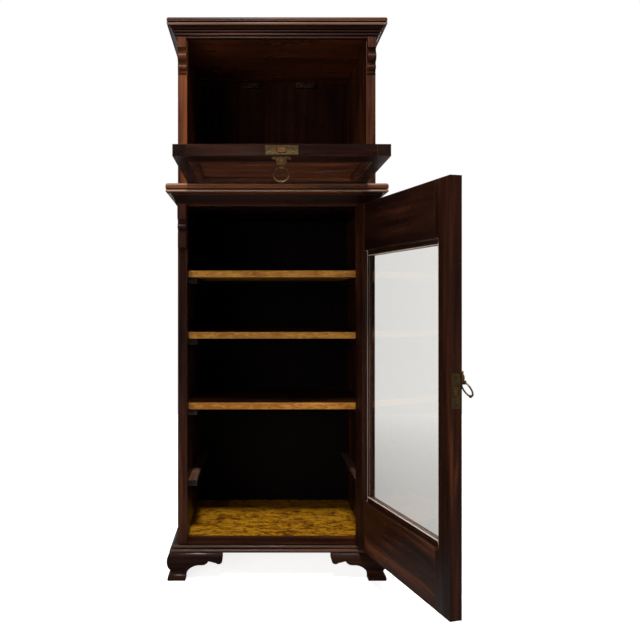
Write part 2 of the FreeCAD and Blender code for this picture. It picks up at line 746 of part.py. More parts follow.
def key_tools(x, face, z, depth):
    hole = rod(s.key_radius, (x, face, z), "+y", depth)
    slot = block(around(x, s.key_slot_width), (face, face + depth), (z - s.key_slot_length, z))
    return [hole, slot]


def make_lock(name, frame, spans, screws, key):
    plate, case, mouth, cavity = [block(*span) for span in spans[:4]]
    part(f"{name}_lock_case", cut(fuse(plate, case), mouth, cavity, *screws, *key), frame)
    part(f"{name}_lock_bolt", slab(*spans[4]), frame)
    return [plate, case]


def door_lock():
    plate_back = DOOR_FREE + s.lock_plate_thickness
    bolt_back = DOOR_FREE + s.bolt_length
    spans = [
        ((DOOR_FREE, plate_back), around(DOOR_MIDDLE, s.lock_plate_width),
         around(s.lock_height, s.lock_plate_length)),
        ((plate_back, plate_back + s.door_lock_depth), around(DOOR_MIDDLE, s.lock_case_thickness),
         around(s.lock_height, s.lock_case_length)),
        ((DOOR_FREE, plate_back), around(DOOR_MIDDLE, s.bolt_thickness + 2 * s.mouth_gap),
         around(s.lock_height, s.bolt_width + 2 * s.mouth_gap)),
        ((DOOR_FREE, bolt_back + s.bolt_gap), around(DOOR_MIDDLE, s.bolt_thickness + 2 * s.bolt_gap),
         around(s.lock_height, s.bolt_width + 2 * s.bolt_gap)),
        ((DOOR_FREE, bolt_back), around(DOOR_MIDDLE, s.bolt_thickness), around(s.lock_height, s.bolt_width)),
    ]
    reach = s.lock_screw_pitch / 2
    screws = [screw((DOOR_FREE, DOOR_MIDDLE, s.lock_height + reach * sign), "+x") for sign in (-1, 1)]
    key_z = s.lock_height + s.pull_rise - s.pull_key_drop
    key = key_tools(DOOR_FREE + s.pull_backset, DOOR_FACE, key_z, DOOR_MIDDLE - DOOR_FACE)
    body = make_lock("door", door_frame, spans, screws, key)
    return body + screws + key, screws


def flap_lock():
    plate_low = FLAP_TOP - s.lock_plate_thickness
    bolt_low = FLAP_TOP - s.bolt_length
    middle = as_size(0)
    spans = [
        (around(middle, s.lock_plate_length), around(FLAP_MIDDLE, s.lock_plate_width), (plate_low, FLAP_TOP)),
        (around(middle, s.lock_case_length), around(FLAP_MIDDLE, s.lock_case_thickness),
         (plate_low - s.flap_lock_depth, plate_low)),
        (around(middle, s.bolt_width + 2 * s.mouth_gap),
         around(FLAP_MIDDLE, s.bolt_thickness + 2 * s.mouth_gap), (plate_low, FLAP_TOP)),
        (around(middle, s.bolt_width + 2 * s.bolt_gap), around(FLAP_MIDDLE, s.bolt_thickness + 2 * s.bolt_gap),
         (bolt_low - s.bolt_gap, FLAP_TOP)),
        (around(middle, s.bolt_width), around(FLAP_MIDDLE, s.bolt_thickness), (bolt_low, FLAP_TOP)),
    ]
    reach = s.lock_screw_pitch / 2
    screws = [screw((reach * sign, FLAP_MIDDLE, FLAP_TOP), "-z") for sign in (-1, 1)]
    key_z = FLAP_TOP - s.pull_backset - s.pull_key_drop
    key = key_tools(middle, as_size(0), key_z, FLAP_MIDDLE)
    body = make_lock("flap", flap_frame, spans, screws, key)
    return body + screws + key, screws


# Ring pulls: a lobed plate with a boss and a lug that carries the ring
def make_pull(name, frame, x, face, z, droop):
    front = face - s.pull_plate_thickness
    thick = s.pull_plate_thickness

    def disc(radius, right, up):
        return rod(radius, (x + right, front, z + up), "+y", thick)

    key_z = z - s.pull_key_drop
    pivot_z = z - s.ring_drop
    pivot_y = face - s.ring_pivot
    plate = [
        disc(s.pull_crown_radius, 0, s.pull_crown_rise),
        disc(s.pull_wing_radius, -s.pull_wing_reach, s.pull_wing_rise),
        disc(s.pull_wing_radius, s.pull_wing_reach, s.pull_wing_rise),
        disc(s.pull_tail_radius, 0, -s.pull_key_drop),
        block(around(x, s.pull_waist), (front, face), (key_z, z)),
    ]
    boss = taper(s.boss_radius, s.boss_top_radius, (x, face - s.pull_plate_thickness, z), "-y",
                 s.boss_height - s.pull_plate_thickness)
    lug = block(around(x, s.lug_thickness), (pivot_y, front), around(pivot_z, s.lug_width))
    eye = rod(s.lug_width / 2, (x - s.lug_thickness / 2, pivot_y, pivot_z), "+x", s.lug_thickness)
    hole = rod(s.ring_hole_radius, (x - s.lug_thickness, pivot_y, pivot_z), "+x", 2 * s.lug_thickness)
    key = key_tools(x, front, key_z, thick)
    part(f"{name}_pull_plate", cut(fuse(*plate, boss, lug, eye), hole, *key), frame)
    ring = document.addObject("PartDesign::Body", "Body")
    hoop = ring.newObject("PartDesign::AdditiveTorus", "Hoop")
    bind(hoop, "Radius1", s.ring_radius)
    bind(hoop, "Radius2", s.ring_wire_radius)
    hoop.Placement.Rotation = FreeCAD.Rotation(FreeCAD.Vector(1, 0, 0), droop.value)
    bind(hoop, "Placement.Rotation.Angle", droop)
    locate(hoop, (x, pivot_y - s.ring_radius * cosine(droop), pivot_z - s.ring_radius * sine(droop)))
    knob = ring.newObject("PartDesign::AdditiveSphere", "Knob")
    bind(knob, "Radius", s.ring_knob_radius)
    knob.Placement.Rotation = FreeCAD.Rotation(FreeCAD.Vector(0, 0, 1), 90)
    hang = 2 * s.ring_radius
    locate(knob, (x, pivot_y - hang * cosine(droop), pivot_z - hang * sine(droop)))
    part(f"{name}_pull_ring", ring, frame)


# Door
def make_door(leaf_tools, moving_leaves, moving_screws):
    lock_tools, lock_screws = door_lock()
    rebate_spans = ((PANE_LEFT - s.glass_rebate, PANE_RIGHT + s.glass_rebate),
                    (GLASS_FACE, DOOR_INSIDE + MARGIN),
                    (PANE_BOTTOM - s.glass_rebate, PANE_TOP + s.glass_rebate))
    depth = (DOOR_FACE, DOOR_INSIDE)
    height = (DOOR_BOTTOM, DOOR_TOP)
    rail = (PANE_LEFT, PANE_RIGHT)
    hinge_stile = block((PANE_RIGHT, DOOR_EDGE), depth, height)
    lock_stile = block((DOOR_FREE, PANE_LEFT), depth, height)
    part("door_hinge_stile", cut(hinge_stile, block(*rebate_spans), *leaf_tools), door_frame)
    part("door_lock_stile", cut(lock_stile, block(*rebate_spans), *lock_tools), door_frame)
    top_rail = block(rail, depth, (PANE_TOP, DOOR_TOP))
    bottom_rail = block(rail, depth, (DOOR_BOTTOM, PANE_BOTTOM))
    part("door_top_rail", cut(top_rail, block(*rebate_spans)), door_frame)
    part("door_bottom_rail", cut(bottom_rail, block(*rebate_spans)), door_frame)
    reach = s.glass_rebate - s.glass_gap
    left, right = PANE_LEFT - reach, PANE_RIGHT + reach
    low, high = PANE_BOTTOM - reach, PANE_TOP + reach
    part("door_glass", slab((left, right), (GLASS_FACE, GLASS_BACK), (low, high)), door_frame)
    bead_depth = (GLASS_BACK, GLASS_BACK + s.bead_thickness)
    beads = [
        block((left, PANE_LEFT), bead_depth, (low, high)),
        block((PANE_RIGHT, right), bead_depth, (low, high)),
        block(rail, bead_depth, (low, PANE_BOTTOM)),
        block(rail, bead_depth, (PANE_TOP, high)),
    ]
    part("door_glazing_beads", group(*beads), door_frame)
    part("door_hinge_leaves", group(*moving_leaves), door_frame)
    part("door_screws", group(*moving_screws, *lock_screws), door_frame)
    make_pull("door", door_frame, DOOR_FREE + s.pull_backset, DOOR_FACE, s.lock_height + s.pull_rise,
              s.door_ring_droop)


# Fall flap
def moulding_strip(edge, sign, plane, plan, run):
    foot = s.panel_recess - s.panel_moulding_foot
    start = edge + sign * s.panel_moulding_land
    end = edge + sign * s.panel_moulding_width
    points = [
        (s.panel_recess, edge),
        (s.panel_moulding_quirk, edge),
        (s.panel_moulding_quirk, start, ("x", foot, 1)),
        (foot, end),
        (s.panel_recess, end),
    ]
    outline = []
    for y, across, *arc in points:
        turn = [(arc[0][0], arc[0][1], -sign * arc[0][2])] if arc else []
        if plane == "XY_Plane":
            turn = [("y", arc[0][1], sign * arc[0][2])] if arc else []
            outline.append((across, y, *turn))
        else:
            outline.append((y, across, *turn))
    section = prism(plane, outline, run[0], run[1] - run[0])
    return common(section, prism("XZ_Plane", plan, as_size(0), s.panel_recess))


def panel_strips():
    width = s.panel_moulding_width
    outer = ((-PANEL_HALF, PANEL_BOTTOM), (PANEL_HALF, PANEL_BOTTOM),
             (PANEL_HALF, PANEL_TOP), (-PANEL_HALF, PANEL_TOP))
    inner = ((-PANEL_HALF + width, PANEL_BOTTOM + width), (PANEL_HALF - width, PANEL_BOTTOM + width),
             (PANEL_HALF - width, PANEL_TOP - width), (-PANEL_HALF + width, PANEL_TOP - width))
    plans = [[outer[k], outer[(k + 1) % 4], inner[(k + 1) % 4], inner[k]] for k in range(4)]
    across = (-PANEL_HALF, PANEL_HALF)
    upright = (PANEL_BOTTOM, PANEL_TOP)
    return [
        moulding_strip(PANEL_BOTTOM, 1, "YZ_Plane", plans[0], across),
        moulding_strip(PANEL_HALF, -1, "XY_Plane", plans[1], upright),
        moulding_strip(PANEL_TOP, -1, "YZ_Plane", plans[2], across),
        moulding_strip(-PANEL_HALF, 1, "XY_Plane", plans[3], upright),
    ]


def raised_field():
    field = document.addObject("Part::Wedge", "Field")
    side = PANEL_HALF - s.panel_moulding_width - s.panel_margin
    low = PANEL_BOTTOM + s.panel_moulding_width + s.panel_margin
    high = PANEL_TOP - s.panel_moulding_width - s.panel_margin
    limits = {
        "Ymin": s.panel_recess - s.panel_rise, "Ymax": s.panel_recess,
        "Xmin": s.panel_bevel - side, "Xmax": side - s.panel_bevel,
        "Zmin": low + s.panel_bevel, "Zmax": high - s.panel_bevel,
        "X2min": -side, "X2max": side, "Z2min": low, "Z2max": high,
    }
    for prop, size in limits.items():
        bind(field, prop, size)
    return field


def make_flap(leaf_tools, moving_leaves, moving_screws):
    lock_tools, lock_screws = flap_lock()
    reach = s.panel_groove
    groove_spans = ((-PANEL_HALF - reach, PANEL_HALF + reach), (s.panel_recess, PANEL_BACK),
                    (PANEL_BOTTOM - reach, PANEL_TOP + reach))
    depth = (as_size(0), s.flap_thickness)
    height = (FLAP_BOTTOM, FLAP_TOP)
    rail = (-PANEL_HALF, PANEL_HALF)
    for hand, span in (("left", (-FLAP_HALF, -PANEL_HALF)), ("right", (PANEL_HALF, FLAP_HALF))):
        part(f"flap_stile_{hand}", cut(block(span, depth, height), block(*groove_spans)), flap_frame)
    free_rail = block(rail, depth, (PANEL_TOP, FLAP_TOP))
    hinge_rail = block(rail, depth, (FLAP_BOTTOM, PANEL_BOTTOM))
    part("flap_free_rail", cut(free_rail, block(*groove_spans), *lock_tools), flap_frame)
    part("flap_hinge_rail", cut(hinge_rail, block(*groove_spans), *leaf_tools), flap_frame)
    reach = s.panel_groove - s.panel_gap
    panel = block((-PANEL_HALF - reach, PANEL_HALF + reach), (s.panel_recess, PANEL_BACK),
                  (PANEL_BOTTOM - reach, PANEL_TOP + reach))
    part("flap_panel", fuse(panel, raised_field()), flap_frame)
    part("flap_panel_moulding", group(*panel_strips()), flap_frame)
    part("flap_hinge_leaves", group(*moving_leaves), flap_frame)
    part("flap_screws", group(*moving_screws, *lock_screws), flap_frame)
    make_pull("flap", flap_frame, as_size(0), as_size(0), FLAP_TOP - s.pull_backset, s.flap_ring_droop)


def main():
    door_pivot = (DOOR_X, DOOR_Y, as_size(0))
    flap_pivot = (as_size(0), FLAP_Y, FLAP_Z)
    door_places = (DOOR_BOTTOM + s.door_hinge_rise, DOOR_TOP - s.door_hinge_drop)
    flap_places = (s.flap_hinge_inset - PANEL_HALF, PANEL_HALF - s.flap_hinge_inset)
    door_hinges = make_hinges("door", door_places, s.door_gap / 2, -s.door_gap / 2, ("+x", "-x"), door_pivot)
    flap_hinges = make_hinges("flap", flap_places, s.flap_rest_gap, -s.flap_edge_gap, ("-z", "+z"), flap_pivot)
    make_carcass(door_hinges["fixed_tools"], flap_hinges["fixed_tools"])
    make_feet()
    make_glue_blocks()
    make_corbels()
    make_shelves()
    make_strikes()
    part("hinge_fixed_leaves", group(*door_hinges["fixed_leaves"], *flap_hinges["fixed_leaves"]))
    part("hinge_pins", group(*door_hinges["pins"], *flap_hinges["pins"]))
    part("carcass_screws", group(*door_hinges["fixed_screws"], *flap_hinges["fixed_screws"]))
    make_door(door_hinges["moving_tools"], door_hinges["moving_leaves"], door_hinges["moving_screws"])
    make_flap(flap_hinges["moving_tools"], flap_hinges["moving_leaves"], flap_hinges["moving_screws"])
    document.recompute()
    for item in document.Objects:
        if "Invalid" in item.State or "Error" in item.State:
            raise RuntimeError(f"{item.Label} ({item.Name}) failed: {item.State}")
    os.makedirs("parts", exist_ok=True)
    for item in parts:
        if item.Shape.isNull() or not item.Shape.isValid() or not item.Shape.Solids:
            raise RuntimeError(f"{item.Label} has no sound solid")
        item.Shape.exportStep(f"parts/{item.Label}.step")
        print(item.Label, len(item.Shape.Solids), round(item.Shape.Volume))


main()
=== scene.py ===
import json
import math

import bmesh
import bpy
import numpy as np
from bpy.props import FloatProperty, FloatVectorProperty, IntProperty, PointerProperty
from mathutils import Matrix, Vector

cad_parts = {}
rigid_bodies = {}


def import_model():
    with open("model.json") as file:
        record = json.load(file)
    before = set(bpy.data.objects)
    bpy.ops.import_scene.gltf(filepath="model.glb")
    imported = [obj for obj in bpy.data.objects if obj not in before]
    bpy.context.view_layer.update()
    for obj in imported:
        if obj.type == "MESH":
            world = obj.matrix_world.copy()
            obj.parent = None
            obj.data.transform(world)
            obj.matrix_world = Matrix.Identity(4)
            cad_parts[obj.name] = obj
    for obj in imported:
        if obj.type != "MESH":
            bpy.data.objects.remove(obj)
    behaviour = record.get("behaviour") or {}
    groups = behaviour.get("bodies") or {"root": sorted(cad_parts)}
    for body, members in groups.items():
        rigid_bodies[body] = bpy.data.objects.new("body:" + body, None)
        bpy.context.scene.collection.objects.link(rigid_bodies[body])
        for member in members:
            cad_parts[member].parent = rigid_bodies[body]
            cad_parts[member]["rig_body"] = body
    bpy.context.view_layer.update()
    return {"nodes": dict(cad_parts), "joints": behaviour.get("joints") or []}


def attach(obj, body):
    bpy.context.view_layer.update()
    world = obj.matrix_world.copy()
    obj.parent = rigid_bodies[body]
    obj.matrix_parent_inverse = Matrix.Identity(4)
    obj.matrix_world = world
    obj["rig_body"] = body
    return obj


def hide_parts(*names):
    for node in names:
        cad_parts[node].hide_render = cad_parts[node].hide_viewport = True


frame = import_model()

bl_info = {
    "name": "Display cabinet",
    "version": (1, 0, 0),
    "blender": (4, 5, 0),
    "location": "View3D > Sidebar > Cabinet",
    "description": "Dresses a polished display cabinet with a fall flap and a glazed door",
    "category": "Object",
}

NODES = frame["nodes"]
JOINTS = {joint["name"]: joint for joint in frame["joints"]}

# How far the door and the flap turn from closed to where they stand open
DOOR_TURN = -math.radians(JOINTS["door_hinge"]["range_deg"][0])
FLAP_TURN = math.radians(JOINTS["flap_hinge"]["range_deg"][1])

# The beads around the edge of a pull's plate, each with its offset from the ring's pivot while the door or
# the flap is closed, and its radius
PULL_BEADS = (
    ((-0.0148, 0.0126, 0.0188), 0.003),
    ((0.0148, 0.0126, 0.0188), 0.003),
    ((0.0, 0.0126, 0.0212), 0.0024),
    ((-0.0074, 0.0126, 0.0208), 0.0016),
    ((0.0074, 0.0126, 0.0208), 0.0016),
)
PULL_BEAD_STEPS = 3

# Which way the grain runs in each board, as a turn that lays it along the first axis of the pattern
GRAIN = {
    "upright": (0.0, math.pi / 2, 0.0),
    "across": (0.0, 0.0, 0.0),
    "deep": (0.0, 0.0, -math.pi / 2),
    "door": (0.0, 0.0, -DOOR_TURN),
}

# How much lighter or darker a piece is than its material; a piece that isn't listed is neither. These are
# partly the woods' own differences and partly painted light and shade: lighter where a piece is lit, darker
# where it lies in shade
TONES_AND_SHADING = {
    "upper_side_left": 0.18,
    "upper_side_right": 0.08,
    "lower_sub_top": -0.1,
    "upper_sub_top": 0.2,
    "top_board": 0.05,
    # painted light: the waist board's front, under the open flap, is lighter as if lit from below
    "waist_board": 0.18,
    "cornice_front": -0.02,
    "cornice_returns": -0.06,
    # painted shade: the cove under the waist board is darker, as it lies in shade
    "waist_cove_front": -0.36,
    "waist_cove_returns": -0.14,
    "base_moulding_front": -0.06,
    "base_moulding_returns": -0.08,
    "foot_front_left": -0.1,
    "foot_front_right": -0.1,
    "foot_back_left": -0.1,
    "foot_back_right": -0.1,
    "upper_corbel_left": 0.05,
    "lower_corbel_left": -0.05,
    "lower_corbel_right": -0.05,
    "shelf_bottom": -0.07,
    "glue_blocks": -0.05,
    # painted shade: the bearers are darker, as they lie in the shade under the shelves
    "shelf_bearers": -0.4,
    "door_hinge_stile": -0.05,
    "door_lock_stile": -0.1,
    "door_top_rail": -0.05,
    "door_bottom_rail": 0.02,
    # painted shade: the flap's stiles and free rail are darker, as their undersides lie in shade while the
    # flap stands open
    "flap_stile_left": -0.28,
    "flap_stile_right": -0.16,
    "flap_free_rail": -0.17,
    "flap_hinge_rail": 0.02,
    "flap_panel": 0.035,
    "flap_panel_moulding": -0.02,
    "door_pull_plate": 0.1,
    "flap_pull_plate": 0.1,
    "door_pull_ring": -0.05,
    "flap_pull_ring": -0.05,
}

# The bearers are painted dark, as shade under the shelves. The lowest bearers carry no shelf, and their tops,
# which lie within this height of their underside, are painted lighter than the other bearers, as lit
EMPTY_BEARER_HEIGHT = 0.015
EMPTY_BEARER_LIT_TONE = 0.06

# The part of the flap's panel moulding next to the hinge rail is painted lighter than the rest, over this
# depth, as painted light on the part nearest the hinge
HINGE_MOULDING_DEPTH = 0.02
HINGE_MOULDING_LIT_TONE = 0.04

# Bands along the fronts of the mouldings: painted highlights on the beads, where the wear layer is raised,
# and painted shade in the grooves and under the beads, where the piece is darkened and the wear cleared. Each
# band gives the layer and its value, and the two heights above the moulding's underside that the band lies
# between
FRONT_BANDS = {
    "top_board": (
        ("tone", -0.4, 0.0054, 0.0098),
        ("worn", 0.0, 0.0054, 0.0098),
        ("worn", 0.3, 0.0007, 0.0054),
    ),
    "waist_board": (
        ("worn", 0.28, 0.0165, 0.0216),
        ("tone", -0.5, 0.0068, 0.0102),
        ("worn", 0.0, 0.0068, 0.0102),
        ("worn", 0.35, 0.0025, 0.0064),
        ("tone", -0.5, -0.0002, 0.0025),
        ("worn", 0.0, -0.0002, 0.0025),
    ),
    "base_moulding_front": (
        ("worn", 0.07, -0.0005, 0.0165),
    ),
}

# How far a face's normal has to point forward to be on a moulding's front, and along an axis to face that way
FORWARD = -0.3
SQUARE_ON = 0.9
Y_AXIS = 1
Z_AXIS = 2

# The lamps: each one's power among the stage settings, its place, what it looks at, its width and height, the
# angle that it spreads over, and whether the polish mirrors it
CABINET_MIDDLE = (0.0, -0.17, 0.7)
UNDER_FLAP = (0.0, -0.33, 0.88)
WIDE_SPREAD = math.pi
NARROW_SPREAD = math.radians(50.0)
LAMPS = (
    ("key_light", "key_power", (-0.1, -1.95, 2.9), CABINET_MIDDLE, (0.5, 0.4), WIDE_SPREAD, True),
    ("fill_light", "fill_power", (-1.2, -2.5, 0.8), CABINET_MIDDLE, (1.2, 1.0), WIDE_SPREAD, False),
    ("rear_light", "rear_power", (1.2, 3.0, 2.6), CABINET_MIDDLE, (1.6, 1.6), WIDE_SPREAD, True),
    ("bounce_light", "bounce_power", (0.0, -0.5, 0.35), UNDER_FLAP, (0.3, 0.12), NARROW_SPREAD, False),
)
LAMP_COLOUR = (1.0, 0.97, 0.93)
WHITE = (1.0, 1.0, 1.0, 1.0)
SENSOR_WIDTH = 36.0


# Settings
def tint(red, green, blue):
    """Turns an 8-bit colour as seen on a screen into the linear colour that shaders use."""
    def linear(level):
        share = level / 255
        return share / 12.92 if share <= 0.04045 else ((share + 0.055) / 1.055) ** 2.4

    return (linear(red), linear(green), linear(blue))


def colour_setting(name, description, default):
    return FloatVectorProperty(name=name, description=description, subtype="COLOR", size=3, min=0.0, max=1.0,
                               default=default)


def length_setting(name, description, default):
    return FloatProperty(name=name, description=description, default=default, min=0.0, unit="LENGTH")


def power_setting(name, description, default):
    return FloatProperty(name=name, description=description, default=default, min=0.0, unit="POWER")


def brightness_setting(name, description, default):
    return FloatProperty(name=name, description=description, default=default, min=0.0)


def share_setting(name, description, default):
    return FloatProperty(name=name, description=description, default=default, min=0.0, max=1.0,
                         subtype="FACTOR")


class CabinetFinish(bpy.types.PropertyGroup):
    """Colours and polish of the woods and the metal."""
    mahogany_dark: colour_setting("Mahogany dark", "Darkest streaks of the polished mahogany", tint(20, 8, 6))
    mahogany_mid: colour_setting("Mahogany", "Body colour of the polished mahogany", tint(50, 25, 15))
    mahogany_light: colour_setting("Mahogany light", "Lightest ribbons of the polished mahogany",
                                   tint(114, 62, 30))
    # The back boards are nearly black, partly their dark stain and partly painted shade at the back of the
    # compartments
    back_dark: colour_setting("Back board", "Stain of the back boards", tint(10, 8, 8))
    rear: colour_setting("Rear", "Unpolished rear faces of the back boards", tint(78, 52, 34))
    shelf_dark: colour_setting("Shelf grain", "Grain lines of the shelves", tint(120, 72, 22))
    shelf_light: colour_setting("Shelf", "Body colour of the shelves", tint(186, 132, 60))
    floor_dark: colour_setting("Floor mottle", "Dark mottles of the stained floor board", tint(78, 38, 9))
    floor_light: colour_setting("Floor", "Body colour of the stained floor board", tint(174, 124, 22))
    pine: colour_setting("Softwood", "Bearers and glue blocks", tint(112, 80, 60))
    # painted highlight: this pale colour, on the beads of the top board and the base moulding, is a painted
    # sheen, and on their eased edges it is wear
    rub_and_sheen: colour_setting("Rubbed edges", "Thin polish on the edges of the top and base mouldings",
                           tint(190, 156, 138))
    # painted highlight: this near-white colour, on the waist moulding's bead and the glazing beads' wide
    # eased edges, is a painted sheen as well as wear
    bead_wear_and_sheen: colour_setting("Bead edge", "Rubbed edges of the glazing beads and the waist moulding",
                              tint(206, 184, 168))
    cast: colour_setting("Cast brass", "Bright cast brass of the pulls", tint(172, 132, 86))
    brass: colour_setting("Brass", "Dull rolled brass of the locks and hinges", tint(116, 93, 56))
    tarnish: colour_setting("Tarnish", "Dull brown film on the brass", tint(46, 36, 23))
    soot: colour_setting("Dark film", "Near-black film on the pulls", tint(24, 18, 12))
    bolt: colour_setting("Bolt", "Coppery metal of the lock bolts", tint(150, 104, 66))
    steel: colour_setting("Screws", "Dull grey metal of the screws", tint(104, 92, 70))
    polish_roughness: share_setting("Polish roughness", "Roughness of the polished mahogany", 0.3)


class CabinetDetail(bpy.types.PropertyGroup):
    """Sizes of the small details."""
    board_ease: length_setting("Board edge", "Width of the eased edges of boards, feet and the flap's rails",
                               0.0009)
    moulding_ease: length_setting("Moulding edge", "Width of the eased edges of mouldings", 0.0004)
    # The glazing beads' eased edges are wide, and take a painted highlight with their wear
    bead_ease: length_setting("Bead edge", "Width of the rubbed edges of the glazing beads", 0.0012)
    frame_ease: length_setting("Frame edge", "Width of the eased edges of the door's frame and flap stiles",
                               0.0004)
    metal_ease: length_setting("Metal edge", "Width of the eased edges of the brass", 0.0003)
    ease_segments: IntProperty(name="Edge steps", description="Steps across each eased edge", default=2,
                               min=1, max=6)
    head_radius: length_setting("Screw head", "Radius of the screw heads", 0.0024)
    head_height: length_setting("Head height", "Height of the countersunk screw heads", 0.0013)
    shank_radius: length_setting("Shank", "Radius of the screw shanks", 0.0011)
    shank_length: length_setting("Shank length", "Length of the screw shanks", 0.011)
    slot_width: length_setting("Screw slot", "Width of the slots in the screw heads", 0.0007)
    slot_depth: length_setting("Slot depth", "Depth of the slots in the screw heads", 0.0006)


class CabinetStage(bpy.types.PropertyGroup):
    """Camera and light."""
    camera_place: FloatVectorProperty(name="Camera", description="Where the camera stands", size=3,
                                      default=(-0.047, -1.761, 0.613), subtype="TRANSLATION", unit="LENGTH")
    lens: FloatProperty(name="Lens", description="Focal length on a 36 mm sensor", default=39.9,
                        unit="CAMERA")
    shift_x: FloatProperty(name="Shift X", description="Sideways shift of the lens", default=0.1003)
    shift_y: FloatProperty(name="Shift Y", description="Upward shift of the lens", default=-0.0245)
    key_power: power_setting("Key light", "Power of the high front light", 110.0)
    fill_power: power_setting("Fill light", "Power of the low front light", 32.0)
    rear_power: power_setting("Rear light", "Power of the soft light behind", 45.0)
    bounce_power: power_setting("Bounce light", "Power of the light thrown up at the flap", 0.45)
    ambient: brightness_setting("Ambient", "Light that comes from all round", 0.05)
    room: brightness_setting("Room", "Brightness of the room in front, as the polish mirrors it", 0.12)
    behind: brightness_setting("Behind", "Brightness of the backdrop, as the polish mirrors it", 0.45)
    through: brightness_setting("Through glass", "Brightness of the floor seen through the glass", 0.58)
    floor_glow: brightness_setting("Floor", "Brightness of the floor where it lies in shadow", 0.84)
    floor_paint: share_setting("Floor paint", "Share of the light that the floor throws back", 0.7)


# Material building
def feed(tree, socket, value):
    """Links a socket to the one that is given, or sets it to a plain value."""
    if isinstance(value, bpy.types.NodeSocket):
        tree.links.new(value, socket)
    else:
        socket.default_value = value


def add_node(tree, kind, settings=None, **inputs):
    """Adds a node; an underscore in an input's name stands for a space."""
    node = tree.nodes.new(kind)
    for name, value in (settings or {}).items():
        setattr(node, name, value)
    for name, value in inputs.items():
        feed(tree, node.inputs[name.replace("_", " ")], value)
    return node


def opaque(colour):
    return (*colour, 1.0)


def finish_colour(name):
    return opaque(getattr(bpy.context.scene.cabinet_finish, name))


def new_surface(name):
    material = bpy.data.materials.new(name)
    material.use_nodes = True
    tree = material.node_tree
    tree.nodes.clear()
    output = tree.nodes.new("ShaderNodeOutputMaterial")
    surface = tree.nodes.new("ShaderNodeBsdfPrincipled")
    tree.links.new(surface.outputs["BSDF"], output.inputs["Surface"])
    return material, tree, surface


def grain_space(tree, grain):
    place = add_node(tree, "ShaderNodeTexCoord").outputs["Object"]
    return add_node(tree, "ShaderNodeMapping", Vector=place, Rotation=GRAIN[grain]).outputs["Vector"]


def streaks(tree, space, along, across, detail=3.0, distortion=0.0):
    """Noise with so many waves to the metre along the grain and across it."""
    scale = (along, across, across)
    stretched = add_node(tree, "ShaderNodeMapping", Vector=space, Scale=scale).outputs["Vector"]
    noise = add_node(tree, "ShaderNodeTexNoise", Vector=stretched, Scale=1.0, Detail=detail,
                     Distortion=distortion)
    return noise.outputs["Fac"]


def level(tree, value, low, high, out_low=0.0, out_high=1.0):
    """Stretches the values between low and high over the outgoing range and cuts off the rest."""
    node = add_node(tree, "ShaderNodeMapRange", {"clamp": True}, Value=value)
    for name, number in (("From Min", low), ("From Max", high), ("To Min", out_low), ("To Max", out_high)):
        node.inputs[name].default_value = number
    return node.outputs["Result"]


def maths(tree, operation, first, second):
    node = add_node(tree, "ShaderNodeMath", {"operation": operation})
    for socket, value in zip(node.inputs, (first, second)):
        feed(tree, socket, value)
    return node.outputs["Value"]


def blend_colour(tree, share, first, second):
    """Mixes two colours; a Mix node keeps its colour sockets at these places."""
    node = add_node(tree, "ShaderNodeMix", {"data_type": "RGBA"})
    for index, value in ((0, share), (6, first), (7, second)):
        feed(tree, node.inputs[index], value)
    return node.outputs[2]


def own_value(tree, name):
    return add_node(tree, "ShaderNodeAttribute", {"attribute_name": name}).outputs["Fac"]


def add_relief(tree, surface, height, strength, distance):
    bump = add_node(tree, "ShaderNodeBump", Height=height, Strength=strength, Distance=distance)
    tree.links.new(bump.outputs["Normal"], surface.inputs["Normal"])


def mahogany(name, grain, specular=0.1, rub_and_sheen=None):
    """Polished wood with ribbons, figure and pores, paler on edges marked as wear and on beads given a
    painted highlight, and lighter or darker per piece, partly as painted light and shade.
    """
    material, tree, surface = new_surface(name)
    space = grain_space(tree, grain)
    dark = finish_colour("mahogany_dark")
    light = finish_colour("mahogany_light")
    ribbon = streaks(tree, space, along=5.0, across=95.0, detail=4.0, distortion=0.6)
    figure = streaks(tree, space, along=1.3, across=14.0, detail=2.0, distortion=1.2)
    patch = streaks(tree, space, along=3.0, across=4.5, detail=2.0)
    pores = streaks(tree, space, along=70.0, across=1900.0, detail=2.0)
    ribbon_share = maths(tree, "MULTIPLY", ribbon, 0.5)
    figure_share = maths(tree, "MULTIPLY", figure, 0.5)
    strength = maths(tree, "ADD", maths(tree, "ADD", ribbon_share, figure_share), own_value(tree, "tone"))
    body = blend_colour(tree, level(tree, strength, low=0.34, high=0.56), dark, finish_colour("mahogany_mid"))
    body = blend_colour(tree, level(tree, strength, low=0.52, high=0.86), body, light)
    body = blend_colour(tree, level(tree, patch, low=0.35, high=0.75, out_high=0.45), body, dark)
    pore_line = level(tree, pores, low=0.62, high=0.72)
    pore_shade = maths(tree, "MULTIPLY", pore_line, 0.55)
    body = blend_colour(tree, pore_shade, body, dark)
    # A piece with a pale rub colour gets a stronger rub, which lays painted highlights on its beads as well
    # as wear on its edges
    least_rub, most_rub = (0.35, 0.8) if rub_and_sheen else (0.08, 0.4)
    rub = level(tree, patch, low=0.3, high=0.6, out_low=least_rub, out_high=most_rub)
    rub = maths(tree, "MULTIPLY", own_value(tree, "worn"), rub)
    body = blend_colour(tree, rub, body, finish_colour(rub_and_sheen) if rub_and_sheen else light)
    tree.links.new(body, surface.inputs["Base Color"])
    roughness = bpy.context.scene.cabinet_finish.polish_roughness
    haze = streaks(tree, space, along=9.0, across=30.0, detail=3.0)
    shine = level(tree, haze, low=0.3, high=0.7, out_low=roughness - 0.08, out_high=roughness + 0.14)
    pore_dullness = maths(tree, "MULTIPLY", pore_line, 0.1)
    tree.links.new(maths(tree, "ADD", shine, pore_dullness), surface.inputs["Roughness"])
    surface.inputs["Specular IOR Level"].default_value = specular
    ribbon_height = maths(tree, "MULTIPLY", ribbon, 0.3)
    height = maths(tree, "SUBTRACT", ribbon_height, pore_line)
    add_relief(tree, surface, height, strength=0.18, distance=0.0002)
    return material


